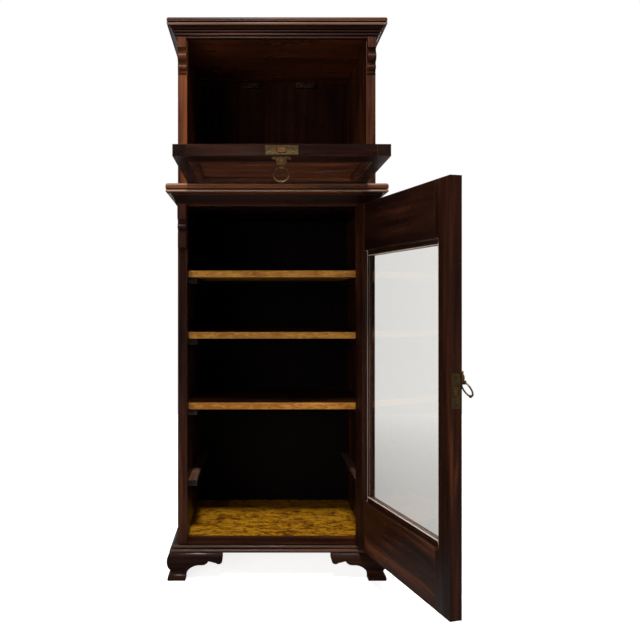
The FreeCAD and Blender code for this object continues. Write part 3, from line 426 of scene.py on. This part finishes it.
def plain_wood(name, grain, light, dark, across, mottle, roughness, contrast=(0.38, 0.66), specular=0.3,
               stretch=0.06, rub_and_sheen=None):
    """Grained and blotched wood between two colours, with short dark flecks."""
    material, tree, surface = new_surface(name)
    space = grain_space(tree, grain)
    lines = streaks(tree, space, along=across * stretch, across=across, detail=5.0, distortion=0.8)
    fleck = streaks(tree, space, along=across * 0.8, across=across * 6.0, detail=2.0)
    blotch = streaks(tree, space, along=mottle, across=mottle * 1.8, detail=4.0, distortion=0.4)
    line_share = maths(tree, "MULTIPLY", lines, 0.55)
    blotch_share = maths(tree, "MULTIPLY", blotch, 0.45)
    share = maths(tree, "ADD", maths(tree, "ADD", line_share, blotch_share), own_value(tree, "tone"))
    body = blend_colour(tree, level(tree, share, *contrast), finish_colour(dark), finish_colour(light))
    fleck_line = level(tree, fleck, low=0.57, high=0.67)
    fleck_shade = maths(tree, "MULTIPLY", fleck_line, 0.65)
    body = blend_colour(tree, fleck_shade, body, finish_colour(dark))
    # With the pale bead colour, the stronger rub lays a painted highlight on the glazing beads as well as
    # wear on their edges
    most_rub = 0.8 if rub_and_sheen else 0.25
    rub = maths(tree, "MULTIPLY", own_value(tree, "worn"), most_rub)
    body = blend_colour(tree, rub, body, finish_colour(rub_and_sheen or light))
    tree.links.new(body, surface.inputs["Base Color"])
    shine = level(tree, blotch, low=0.3, high=0.7, out_low=roughness - 0.08, out_high=roughness + 0.1)
    tree.links.new(shine, surface.inputs["Roughness"])
    surface.inputs["Specular IOR Level"].default_value = specular
    line_height = maths(tree, "MULTIPLY", lines, 0.6)
    height = maths(tree, "SUBTRACT", line_height, fleck_line)
    add_relief(tree, surface, height, strength=0.25, distance=0.0003)
    return material


def aged_metal(name, bright, film, pitted):
    """Metal under a cloudy film, which is thinner on its eased edges."""
    material, tree, surface = new_surface(name)
    space = grain_space(tree, "across")
    cloud = streaks(tree, space, along=420.0, across=420.0, detail=5.0, distortion=0.5)
    speck = streaks(tree, space, along=1600.0, across=1600.0, detail=3.0)
    cover = level(tree, cloud, low=0.34, high=0.66, out_low=0.3, out_high=0.9)
    cover = maths(tree, "SUBTRACT", cover, own_value(tree, "tone"))
    rub = maths(tree, "MULTIPLY", own_value(tree, "worn"), 0.4)
    cover = maths(tree, "SUBTRACT", cover, rub)
    cover = maths(tree, "MINIMUM", maths(tree, "MAXIMUM", cover, 0.0), 1.0)
    body = blend_colour(tree, cover, finish_colour(bright), finish_colour(film))
    tree.links.new(body, surface.inputs["Base Color"])
    surface.inputs["Metallic"].default_value = 0.85
    dullness = level(tree, cloud, low=0.3, high=0.7, out_low=0.36, out_high=0.58)
    tree.links.new(dullness, surface.inputs["Roughness"])
    add_relief(tree, surface, speck, strength=pitted, distance=0.0002)
    return material


def sheet_glass(name):
    """Slightly rippled glass that lets light through to what lies behind it."""
    material, tree, surface = new_surface(name)
    surface.inputs["Base Color"].default_value = (0.87, 0.862, 0.83, 1.0)
    surface.inputs["Transmission Weight"].default_value = 1.0
    surface.inputs["IOR"].default_value = 1.48
    space = grain_space(tree, "across")
    smear = streaks(tree, space, along=6.0, across=9.0, detail=3.0)
    tree.links.new(level(tree, smear, low=0.4, high=0.75, out_high=0.03), surface.inputs["Roughness"])
    ripple = streaks(tree, space, along=14.0, across=14.0, detail=1.0)
    add_relief(tree, surface, ripple, strength=0.03, distance=0.001)
    path = add_node(tree, "ShaderNodeLightPath")
    clear = add_node(tree, "ShaderNodeBsdfTransparent", Color=(0.93, 0.95, 0.94, 1.0))
    mix = add_node(tree, "ShaderNodeMixShader", Fac=path.outputs["Is Shadow Ray"])
    tree.links.new(surface.outputs["BSDF"], mix.inputs[1])
    tree.links.new(clear.outputs["BSDF"], mix.inputs[2])
    output = [node for node in tree.nodes if node.type == "OUTPUT_MATERIAL"][0]
    tree.links.new(mix.outputs["Shader"], output.inputs["Surface"])
    return material


# Each material: what makes it, and the grain, colours and measures that set it apart
MATERIALS = {
    "mahogany_upright": (mahogany, dict(grain="upright")),
    "mahogany_across": (mahogany, dict(grain="across")),
    # painted highlight along the waist moulding's bead
    "mahogany_waist": (mahogany, dict(grain="across", specular=0.3, rub_and_sheen="bead_wear_and_sheen")),
    "mahogany_rubbed": (mahogany, dict(grain="across", rub_and_sheen="rub_and_sheen")),
    "mahogany_cornice": (mahogany, dict(grain="across", specular=0.07)),
    "mahogany_deep": (mahogany, dict(grain="deep")),
    "mahogany_door_rail": (mahogany, dict(grain="door")),
    # The lower back boards are nearly black, partly stain and partly painted shade; the upper back boards are
    # lighter, painted light for the back of the upper compartment
    "back_boards": (plain_wood, dict(
        grain="upright", light="mahogany_dark", dark="back_dark", across=60.0, mottle=5.0, roughness=0.75,
        contrast=(0.45, 0.95), specular=0.08)),
    "upper_back_boards": (plain_wood, dict(
        grain="upright", light="mahogany_mid", dark="mahogany_dark", across=60.0, mottle=5.0, roughness=0.75,
        contrast=(0.35, 0.75), specular=0.08)),
    "rear_boards": (plain_wood, dict(
        grain="upright", light="rear", dark="mahogany_dark", across=70.0, mottle=5.0, roughness=0.7,
        contrast=(0.25, 0.7), specular=0.1)),
    "shelf_wood": (plain_wood, dict(
        grain="across", light="shelf_light", dark="shelf_dark", across=200.0, mottle=9.0, roughness=0.42,
        contrast=(0.4, 0.62), specular=0.2, stretch=0.3)),
    # painted shade: the shelves' top faces are dark, for the shade that lies over them under the shelf above
    # and the open flap
    "shelf_top_wood": (plain_wood, dict(
        grain="across", light="shelf_dark", dark="mahogany_dark", across=130.0, mottle=9.0, roughness=0.5,
        contrast=(0.4, 0.9), specular=0.1)),
    "floor_wood": (plain_wood, dict(
        grain="across", light="floor_light", dark="floor_dark", across=170.0, mottle=36.0, roughness=0.4,
        contrast=(0.41, 0.58), specular=0.2, stretch=0.5)),
    "bead_wood": (plain_wood, dict(
        grain="upright", light="mahogany_mid", dark="mahogany_dark", across=110.0, mottle=8.0, roughness=0.4,
        contrast=(0.4, 0.8), specular=0.2, rub_and_sheen="bead_wear_and_sheen")),
    "softwood": (plain_wood, dict(
        grain="deep", light="pine", dark="mahogany_dark", across=120.0, mottle=8.0, roughness=0.5)),
    "rolled_brass": (aged_metal, dict(bright="brass", film="tarnish", pitted=0.12)),
    "cast_brass": (aged_metal, dict(bright="cast", film="soot", pitted=0.3)),
    "copper_bolt": (aged_metal, dict(bright="bolt", film="tarnish", pitted=0.12)),
    "screw_metal": (aged_metal, dict(bright="steel", film="tarnish", pitted=0.2)),
    "clear_glass": (sheet_glass, {}),
}


def material_for(name):
    made = bpy.data.materials.get(name)
    if made is None:
        maker, measures = MATERIALS[name]
        made = maker(name, **measures)
    return made


# Pieces: points this close are joined and faces this flat are merged, edges bent more than the next angle are
# eased, and edges bent more than the last one stay crisp in the shading
MERGE_DISTANCE = 0.00001
FLAT_ANGLE = math.radians(0.6)
ARRIS_ANGLE = math.radians(35)
SHARP_ANGLE = math.radians(26)


def merged_mesh(node):
    """The node's own mesh, with its doubled points joined and its flat faces whole."""
    mesh = bmesh.new()
    mesh.from_mesh(NODES[node].data)
    bmesh.ops.remove_doubles(mesh, verts=mesh.verts, dist=MERGE_DISTANCE)
    bmesh.ops.dissolve_limit(mesh, angle_limit=FLAT_ANGLE, verts=mesh.verts, edges=mesh.edges)
    return mesh


def is_arris(edge):
    return edge.is_manifold and edge.is_convex and edge.calc_face_angle(0.0) > ARRIS_ANGLE


def ease_edges(mesh, width, segments):
    """Rounds the arrises and marks the new faces as wear, in the layer that also carries painted highlights.
    """
    worn = mesh.faces.layers.float.new("worn")
    edges = [edge for edge in mesh.edges if is_arris(edge)]
    made = bmesh.ops.bevel(mesh, geom=edges, offset=width, offset_type="OFFSET", segments=segments,
                           profile=0.5, affect="EDGES", clamp_overlap=True)
    for face in made["faces"]:
        face[worn] = 1.0


def finish_mesh(mesh, name, tone):
    shade = mesh.faces.layers.float.new("tone")
    for face in mesh.faces:
        face[shade] = tone
    data = bpy.data.meshes.new(name)
    mesh.to_mesh(data)
    mesh.free()
    data.shade_smooth()
    data.set_sharp_from_angle(angle=SHARP_ANGLE)
    return data


def body_of(node):
    return NODES[node]["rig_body"]


def place_piece(mesh, node, material):
    """Stands a finished mesh in for its CAD node, moving with the node's body."""
    data = finish_mesh(mesh, f"{node}_piece", TONES_AND_SHADING.get(node, 0.0))
    data.materials.append(material_for(material))
    piece = bpy.data.objects.new(f"{node}_piece", data)
    bpy.context.scene.collection.objects.link(piece)
    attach(piece, body_of(node))
    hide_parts(node)
    return piece


def eased_piece(node, material, width, beads=()):
    mesh = merged_mesh(node)
    ease_edges(mesh, width, bpy.context.scene.cabinet_detail.ease_segments)
    for centre, radius in beads:
        bmesh.ops.create_icosphere(mesh, subdivisions=PULL_BEAD_STEPS, radius=radius,
                                   matrix=Matrix.Translation(centre))
    return place_piece(mesh, node, material)


def smooth_piece(node, material):
    mesh = merged_mesh(node)
    mesh.faces.layers.float.new("worn")
    place_piece(mesh, node, material)


def stain_and_shade_faces(piece, material, axis):
    """Gives the flat faces that look along an axis a second material: the unpolished rear of the back boards,
    and painted shade on the shelves' tops.
    """
    piece.data.materials.append(material_for(material))
    worn = piece.data.attributes["worn"].data
    for face in piece.data.polygons:
        if face.normal[axis] > SQUARE_ON and worn[face.index].value == 0.0:
            face.material_index = 1


def set_faces(piece, layer, amount, faces):
    """Sets one of the piece's layers on some of its faces."""
    values = piece.data.attributes[layer].data
    for face in faces:
        values[face.index].value = amount


def underside(piece):
    return min(vertex.co.z for vertex in piece.data.vertices)


def set_front_bands(piece, bands):
    """Sets each band's layer on the front faces that it covers."""
    start = underside(piece)
    fronts = [face for face in piece.data.polygons if face.normal.y < FORWARD]
    for layer, amount, low, high in bands:
        covered = [face for face in fronts if low < face.center.z - start < high]
        set_faces(piece, layer, amount, covered)


def paint_node(node, material):
    data = NODES[node].data
    data.materials.clear()
    data.materials.append(material_for(material))


class CABINET_OT_carcass(bpy.types.Operator):
    """Side boards, backs, floor and the boards that tie the sides"""
    bl_idname = "cabinet.carcass"
    bl_label = "Carcass boards"

    def execute(self, context):
        ease = context.scene.cabinet_detail.board_ease
        for node in ("lower_side_left", "lower_side_right", "upper_side_left", "upper_side_right"):
            eased_piece(node, "mahogany_upright", ease)
        for node in ("base_front_rail", "lower_sub_top", "upper_sub_top"):
            eased_piece(node, "mahogany_across", ease)
        # the upper back boards take a lighter material, as painted light
        for half, material in (("lower", "back_boards"), ("upper", "upper_back_boards")):
            back = eased_piece(f"{half}_back_panel", material, ease)
            stain_and_shade_faces(back, "rear_boards", Y_AXIS)
        eased_piece("floor_board", "floor_wood", ease)
        return {"FINISHED"}


class CABINET_OT_mouldings(bpy.types.Operator):
    """Top board, waist board, cornice, cove and base moulding"""
    bl_idname = "cabinet.mouldings"
    bl_label = "Mouldings"

    def execute(self, context):
        ease = context.scene.cabinet_detail.moulding_ease
        for node, material in (
                ("top_board", "mahogany_rubbed"), ("waist_board", "mahogany_waist"),
                ("cornice_front", "mahogany_cornice"), ("waist_cove_front", "mahogany_across"),
                ("base_moulding_front", "mahogany_rubbed")):
            moulding = eased_piece(node, material, ease)
            # the front bands paint highlights on the beads and shade in the grooves
            set_front_bands(moulding, FRONT_BANDS.get(node, ()))
        for node in ("cornice_returns", "waist_cove_returns", "base_moulding_returns"):
            eased_piece(node, "mahogany_deep", ease)
        return {"FINISHED"}


class CABINET_OT_feet(bpy.types.Operator):
    """Ogee bracket feet"""
    bl_idname = "cabinet.feet"
    bl_label = "Bracket feet"

    def execute(self, context):
        ease = context.scene.cabinet_detail.board_ease
        for place in ("front_left", "front_right", "back_left", "back_right"):
            eased_piece(f"foot_{place}", "mahogany_across", ease)
        return {"FINISHED"}


class CABINET_OT_corbels(bpy.types.Operator):
    """Corbels on the front edges of the sides"""
    bl_idname = "cabinet.corbels"
    bl_label = "Corbels"

    def execute(self, context):
        ease = context.scene.cabinet_detail.board_ease
        for node in ("upper_corbel_left", "upper_corbel_right", "lower_corbel_left", "lower_corbel_right"):
            eased_piece(node, "mahogany_upright", ease)
        return {"FINISHED"}


class CABINET_OT_shelves(bpy.types.Operator):
    """Shelves, their bearers and the glue blocks"""
    bl_idname = "cabinet.shelves"
    bl_label = "Shelves"

    def execute(self, context):
        ease = context.scene.cabinet_detail.board_ease
        for node in ("shelf_bottom", "shelf_middle", "shelf_top"):
            shelf = eased_piece(node, "shelf_wood", ease)
            # painted shade on the shelves' top faces
            stain_and_shade_faces(shelf, "shelf_top_wood", Z_AXIS)
        eased_piece("glue_blocks", "softwood", ease)
        bearers = eased_piece("shelf_bearers", "softwood", ease)
        # painted light on the tops of the lowest bearers, which no shelf shades
        limit = underside(bearers) + EMPTY_BEARER_HEIGHT
        tops = [face for face in bearers.data.polygons if face.normal.z > SQUARE_ON]
        bare_tops = [face for face in tops if face.center.z < limit]
        set_faces(bearers, "tone", EMPTY_BEARER_LIT_TONE, bare_tops)
        return {"FINISHED"}


class CABINET_OT_door(bpy.types.Operator):
    """Door frame, glass and glazing beads"""
    bl_idname = "cabinet.door"
    bl_label = "Glazed door"

    def execute(self, context):
        detail = context.scene.cabinet_detail
        for node in ("door_hinge_stile", "door_lock_stile"):
            eased_piece(node, "mahogany_upright", detail.frame_ease)
        for node in ("door_top_rail", "door_bottom_rail"):
            eased_piece(node, "mahogany_door_rail", detail.frame_ease)
        eased_piece("door_glazing_beads", "bead_wood", detail.bead_ease)
        paint_node("door_glass", "clear_glass")
        return {"FINISHED"}


class CABINET_OT_flap(bpy.types.Operator):
    """Fall flap frame, panel and panel moulding"""
    bl_idname = "cabinet.flap"
    bl_label = "Fall flap"

    def execute(self, context):
        detail = context.scene.cabinet_detail
        for node in ("flap_stile_left", "flap_stile_right"):
            eased_piece(node, "mahogany_deep", detail.frame_ease)
        for node in ("flap_free_rail", "flap_hinge_rail", "flap_panel"):
            eased_piece(node, "mahogany_across", detail.board_ease)
        moulding = eased_piece("flap_panel_moulding", "mahogany_across", detail.frame_ease)
        # painted light: the moulding beside the hinge rail is made lighter
        limit = max(corner[Y_AXIS] for corner in moulding.bound_box) - HINGE_MOULDING_DEPTH
        by_hinge = [face for face in moulding.data.polygons if face.center.y > limit]
        set_faces(moulding, "tone", HINGE_MOULDING_LIT_TONE, by_hinge)
        return {"FINISHED"}


class CABINET_OT_hardware(bpy.types.Operator):
    """Hinges, locks, strike plates and pulls"""
    bl_idname = "cabinet.hardware"
    bl_label = "Brass hardware"

    def execute(self, context):
        ease = context.scene.cabinet_detail.metal_ease
        for node in ("hinge_fixed_leaves", "hinge_pins", "door_hinge_leaves", "flap_hinge_leaves"):
            paint_node(node, "rolled_brass")
        for node in ("door_lock_case", "flap_lock_case", "door_strike_plate", "flap_strike_plate"):
            eased_piece(node, "rolled_brass", ease)
        for node in ("door_lock_bolt", "flap_lock_bolt"):
            eased_piece(node, "copper_bolt", ease)
        for name, turn, axis in (("door", DOOR_TURN, "Z"), ("flap", FLAP_TURN, "X")):
            opened = Matrix.Rotation(turn, 3, axis)
            pivot = Vector(JOINTS[f"{name}_ring_hinge"]["pos_m"])
            beads = [(pivot + opened @ Vector(offset), radius) for offset, radius in PULL_BEADS]
            eased_piece(f"{name}_pull_plate", "cast_brass", ease, beads)
            smooth_piece(f"{name}_pull_ring", "cast_brass")
        return {"FINISHED"}


# Screws: the detail settings that they use, the sides of the round shapes, the length of the bar that cuts
# the slot, in head radii, and the seed of the slots' angles
SCREW_INPUTS = ("head_radius", "head_height", "shank_radius", "shank_length", "slot_width", "slot_depth")
HEAD_SIDES = 32
SHANK_SIDES = 24
SLOT_CUTTER_LENGTH = 3.0
SLOT_SEED = 7


def screw_tree():
    """A tree that sets a slotted countersunk screw on every point, along the point's own axis."""
    tree = bpy.data.node_groups.new("screw_set", "GeometryNodeTree")
    tree.interface.new_socket("Points", in_out="INPUT", socket_type="NodeSocketGeometry")
    for name in SCREW_INPUTS:
        tree.interface.new_socket(name, in_out="INPUT", socket_type="NodeSocketFloat")
    tree.interface.new_socket("Metal", in_out="INPUT", socket_type="NodeSocketMaterial")
    tree.interface.new_socket("Screws", in_out="OUTPUT", socket_type="NodeSocketGeometry")
    given = tree.nodes.new("NodeGroupInput").outputs
    vector = "ShaderNodeCombineXYZ"

    # The head, sunk below the point, with a slot cut by a bar that is longer than the head is wide
    head = add_node(tree, "GeometryNodeMeshCone", Vertices=HEAD_SIDES, Radius_Top=given["head_radius"],
                    Radius_Bottom=given["shank_radius"], Depth=given["head_height"]).outputs["Mesh"]
    sunk = add_node(tree, vector, Z=maths(tree, "MULTIPLY", given["head_height"], -1.0)).outputs["Vector"]
    head = add_node(tree, "GeometryNodeTransform", Geometry=head, Translation=sunk).outputs["Geometry"]
    length = maths(tree, "MULTIPLY", given["head_radius"], SLOT_CUTTER_LENGTH)
    height = maths(tree, "MULTIPLY", given["slot_depth"], 2.0)
    size = add_node(tree, vector, X=length, Y=given["slot_width"], Z=height).outputs["Vector"]
    slot = add_node(tree, "GeometryNodeMeshCube", Size=size).outputs["Mesh"]
    slotted = tree.nodes.new("GeometryNodeMeshBoolean")
    slotted.operation = "DIFFERENCE"
    tree.links.new(head, slotted.inputs["Mesh 1"])
    tree.links.new(slot, slotted.inputs["Mesh 2"])

    # The shank below the head
    shank = add_node(tree, "GeometryNodeMeshCylinder", Vertices=SHANK_SIDES, Radius=given["shank_radius"],
                     Depth=given["shank_length"]).outputs["Mesh"]
    middle = maths(tree, "ADD", maths(tree, "MULTIPLY", given["shank_length"], 0.5), given["head_height"])
    below = add_node(tree, vector, Z=maths(tree, "MULTIPLY", middle, -1.0)).outputs["Vector"]
    shank = add_node(tree, "GeometryNodeTransform", Geometry=shank, Translation=below).outputs["Geometry"]
    whole = tree.nodes.new("GeometryNodeJoinGeometry")
    tree.links.new(slotted.outputs["Mesh"], whole.inputs["Geometry"])
    tree.links.new(shank, whole.inputs["Geometry"])

    # One screw on each point, turned along the point's axis, with its slot at any angle
    axis = add_node(tree, "GeometryNodeInputNamedAttribute", {"data_type": "FLOAT_VECTOR"}, Name="axis")
    upright = add_node(tree, "FunctionNodeAlignRotationToVector", {"axis": "Z"},
                       Vector=axis.outputs["Attribute"])
    spin = add_node(tree, "FunctionNodeRandomValue", {"data_type": "FLOAT"}, Max=math.pi, Seed=SLOT_SEED)
    twist = add_node(tree, "FunctionNodeAxisAngleToRotation", Angle=spin.outputs[1])
    turned = add_node(tree, "FunctionNodeRotateRotation", {"rotation_space": "LOCAL"},
                      Rotation=upright.outputs["Rotation"], Rotate_By=twist.outputs["Rotation"])
    placed = add_node(tree, "GeometryNodeInstanceOnPoints", Points=given["Points"],
                      Instance=whole.outputs["Geometry"], Rotation=turned.outputs["Rotation"])
    solid = add_node(tree, "GeometryNodeRealizeInstances", Geometry=placed.outputs["Instances"])
    painted = add_node(tree, "GeometryNodeSetMaterial", Geometry=solid.outputs["Geometry"],
                       Material=given["Metal"])
    result = tree.nodes.new("NodeGroupOutput")
    tree.links.new(painted.outputs["Geometry"], result.inputs["Screws"])
    return tree


def islands(mesh):
    """The points of each separate shape in a mesh, in the mesh's own order."""
    left = set(mesh.verts)
    while left:
        found = {left.pop()}
        newest = found
        while newest:
            near = {link.other_vert(vert) for vert in newest for link in vert.link_edges}
            newest = near & left
            left -= near
            found = found | near
        yield [vert.co.copy() for vert in mesh.verts if vert in found]


def rounded_middle(points):
    """The middle of some points to a tenth of a millimetre, to sort shapes by."""
    middle = sum(points, Vector()) / len(points)
    return tuple(round(value, 4) for value in middle)


def screw_spots(node):
    """The middle of each screw's head and the way it looks out, found from the node's own shapes."""
    mesh = merged_mesh(node)
    spots = []
    for points in sorted(islands(mesh), key=rounded_middle):
        cloud = np.array([tuple(point) for point in points])
        middle = (cloud.min(axis=0) + cloud.max(axis=0)) / 2
        axis = np.linalg.svd(cloud - cloud.mean(axis=0))[2][0]
        along = (cloud - middle) @ axis
        away = np.linalg.norm((cloud - middle) - np.outer(along, axis), axis=1)
        if along[away.argmax()] < 0.0:
            axis, along = -axis, -along
        spots.append((middle + axis * along.max(), axis))
    mesh.free()
    return spots


class CABINET_OT_screws(bpy.types.Operator):
    """Slotted screws of the hinges and locks"""
    bl_idname = "cabinet.screws"
    bl_label = "Screws"

    def execute(self, context):
        tree = screw_tree()
        sockets = {item.name: item.identifier for item in tree.interface.items_tree if item.in_out == "INPUT"}
        for node in ("carcass_screws", "door_screws", "flap_screws"):
            spots = screw_spots(node)
            data = bpy.data.meshes.new(f"{node}_points")
            data.from_pydata([place for place, axis in spots], [], [])
            axes = data.attributes.new("axis", "FLOAT_VECTOR", "POINT")
            for item, (place, axis) in zip(axes.data, spots):
                item.vector = axis
            holder = bpy.data.objects.new(f"{node}_points", data)
            context.scene.collection.objects.link(holder)
            modifier = holder.modifiers.new("screw_set", "NODES")
            modifier.node_group = tree
            for name in SCREW_INPUTS:
                modifier[sockets[name]] = getattr(context.scene.cabinet_detail, name)
            modifier[sockets["Metal"]] = material_for("screw_metal")
            shown = holder.evaluated_get(context.evaluated_depsgraph_get())
            made = bpy.data.meshes.new_from_object(shown)
            made.name = f"{node}_piece"
            bpy.data.objects.remove(holder)
            piece = bpy.data.objects.new(f"{node}_piece", made)
            context.scene.collection.objects.link(piece)
            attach(piece, body_of(node))
            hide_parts(node)
        return {"FINISHED"}


# Stage: how far the floor reaches to the sides and the front, and behind the cabinet
FLOOR_REACH = 8.0
FLOOR_REAR = 2.2


def stage_floor(stage):
    """A pale floor that shines white further out, and is dimmer in the glass and in the polish."""
    data = bpy.data.meshes.new("stage_floor")
    outline = [(-FLOOR_REACH, -FLOOR_REACH, 0.0), (FLOOR_REACH, -FLOOR_REACH, 0.0),
               (FLOOR_REACH, FLOOR_REAR, 0.0), (-FLOOR_REACH, FLOOR_REAR, 0.0)]
    data.from_pydata(outline, [], [(0, 1, 2, 3)])
    floor = bpy.data.objects.new("stage_floor", data)
    bpy.context.scene.collection.objects.link(floor)
    material = bpy.data.materials.new("pale_floor")
    material.use_nodes = True
    tree = material.node_tree
    tree.nodes.clear()
    path = add_node(tree, "ShaderNodeLightPath")
    place = add_node(tree, "ShaderNodeTexCoord").outputs["Object"]
    reach = add_node(tree, "ShaderNodeVectorMath", {"operation": "LENGTH"}, Vector=place).outputs["Value"]
    passed = level(tree, reach, low=0.6, high=2.6, out_low=stage.through)
    passed = maths(tree, "MULTIPLY", path.outputs["Is Transmission Ray"], passed)
    mirrored = maths(tree, "MULTIPLY", path.outputs["Is Glossy Ray"], stage.room)
    shown = level(tree, reach, low=0.9, high=2.2, out_low=stage.floor_glow)
    shown = maths(tree, "MULTIPLY", path.outputs["Is Camera Ray"], shown)
    brightness = maths(tree, "MAXIMUM", maths(tree, "MAXIMUM", shown, passed), mirrored)
    bent = maths(tree, "MAXIMUM", path.outputs["Is Glossy Ray"], path.outputs["Is Transmission Ray"])
    colour = blend_colour(tree, bent, opaque([stage.floor_paint] * 3), opaque([stage.room] * 3))
    paint = add_node(tree, "ShaderNodeBsdfDiffuse", Color=colour)
    glow = add_node(tree, "ShaderNodeEmission", Color=WHITE, Strength=brightness)
    total = add_node(tree, "ShaderNodeAddShader")
    tree.links.new(paint.outputs["BSDF"], total.inputs[0])
    tree.links.new(glow.outputs["Emission"], total.inputs[1])
    output = tree.nodes.new("ShaderNodeOutputMaterial")
    tree.links.new(total.outputs["Shader"], output.inputs["Surface"])
    data.materials.append(material)


def stage_world(stage):
    """White behind the cabinet; the polish mirrors a dimmer room in front of it."""
    world = bpy.data.worlds.new("pale_room")
    bpy.context.scene.world = world
    world.use_nodes = True
    tree = world.node_tree
    tree.nodes.clear()
    path = add_node(tree, "ShaderNodeLightPath")
    direction = add_node(tree, "ShaderNodeTexCoord").outputs["Generated"]
    depth = add_node(tree, "ShaderNodeSeparateXYZ", Vector=direction).outputs["Y"]
    mirrored = level(tree, depth, low=-0.1, high=0.6, out_low=stage.room, out_high=stage.behind)
    mirrored = maths(tree, "MULTIPLY", mirrored, path.outputs["Is Glossy Ray"])
    seen = maths(tree, "MAXIMUM", path.outputs["Is Camera Ray"], path.outputs["Is Transmission Ray"])
    strength = maths(tree, "MAXIMUM", maths(tree, "MAXIMUM", seen, mirrored), stage.ambient)
    glow = add_node(tree, "ShaderNodeBackground", Color=WHITE, Strength=strength)
    output = tree.nodes.new("ShaderNodeOutputWorld")
    tree.links.new(glow.outputs["Background"], output.inputs["Surface"])


def stage_lamp(name, power, place, target, size, spread, mirrored):
    data = bpy.data.lights.new(name, "AREA")
    data.shape = "RECTANGLE"
    data.size, data.size_y = size
    data.energy = power
    data.spread = spread
    data.color = LAMP_COLOUR
    lamp = bpy.data.objects.new(name, data)
    lamp.location = place
    lamp.visible_camera = False
    lamp.visible_glossy = mirrored
    lamp.rotation_euler = (Vector(target) - Vector(place)).to_track_quat("-Z", "Y").to_euler()
    bpy.context.scene.collection.objects.link(lamp)


def stage_camera(stage):
    data = bpy.data.cameras.new("camera")
    data.lens = stage.lens
    data.sensor_width = SENSOR_WIDTH
    data.shift_x = stage.shift_x
    data.shift_y = stage.shift_y
    camera = bpy.data.objects.new("camera", data)
    camera.location = stage.camera_place
    camera.rotation_euler = (math.pi / 2, 0.0, 0.0)
    bpy.context.scene.collection.objects.link(camera)
    bpy.context.scene.camera = camera


class CABINET_OT_stage(bpy.types.Operator):
    """Pale floor, soft light and the camera"""
    bl_idname = "cabinet.stage"
    bl_label = "Stage"

    def execute(self, context):
        stage = context.scene.cabinet_stage
        stage_floor(stage)
        stage_world(stage)
        for name, power, place, target, size, spread, mirrored in LAMPS:
            stage_lamp(name, getattr(stage, power), place, target, size, spread, mirrored)
        stage_camera(stage)
        context.scene.view_settings.view_transform = "Standard"
        return {"FINISHED"}


STEPS = (CABINET_OT_carcass, CABINET_OT_mouldings, CABINET_OT_feet, CABINET_OT_corbels, CABINET_OT_shelves,
         CABINET_OT_door, CABINET_OT_flap, CABINET_OT_hardware, CABINET_OT_screws, CABINET_OT_stage)


class CABINET_PT_panel(bpy.types.Panel):
    """Lists the cabinet's settings and steps"""
    bl_idname = "CABINET_PT_panel"
    bl_label = "Display cabinet"
    bl_space_type = "VIEW_3D"
    bl_region_type = "UI"
    bl_category = "Cabinet"

    def draw(self, context):
        scene = context.scene
        for group in (scene.cabinet_finish, scene.cabinet_detail, scene.cabinet_stage):
            box = self.layout.box()
            for name in group.__annotations__:
                box.prop(group, name)
        for step in STEPS:
            self.layout.operator(step.bl_idname)


CLASSES = (CabinetFinish, CabinetDetail, CabinetStage, *STEPS, CABINET_PT_panel)


def register():
    for item in CLASSES:
        bpy.utils.register_class(item)
    bpy.types.Scene.cabinet_finish = PointerProperty(type=CabinetFinish)
    bpy.types.Scene.cabinet_detail = PointerProperty(type=CabinetDetail)
    bpy.types.Scene.cabinet_stage = PointerProperty(type=CabinetStage)


def unregister():
    del bpy.types.Scene.cabinet_stage
    del bpy.types.Scene.cabinet_detail
    del bpy.types.Scene.cabinet_finish
    for item in reversed(CLASSES):
        bpy.utils.unregister_class(item)


def main():
    register()
    bpy.ops.cabinet.carcass()
    bpy.ops.cabinet.mouldings()
    bpy.ops.cabinet.feet()
    bpy.ops.cabinet.corbels()
    bpy.ops.cabinet.shelves()
    bpy.ops.cabinet.door()
    bpy.ops.cabinet.flap()
    bpy.ops.cabinet.hardware()
    bpy.ops.cabinet.screws()
    bpy.ops.cabinet.stage()


if __name__ == "__main__":
    main()
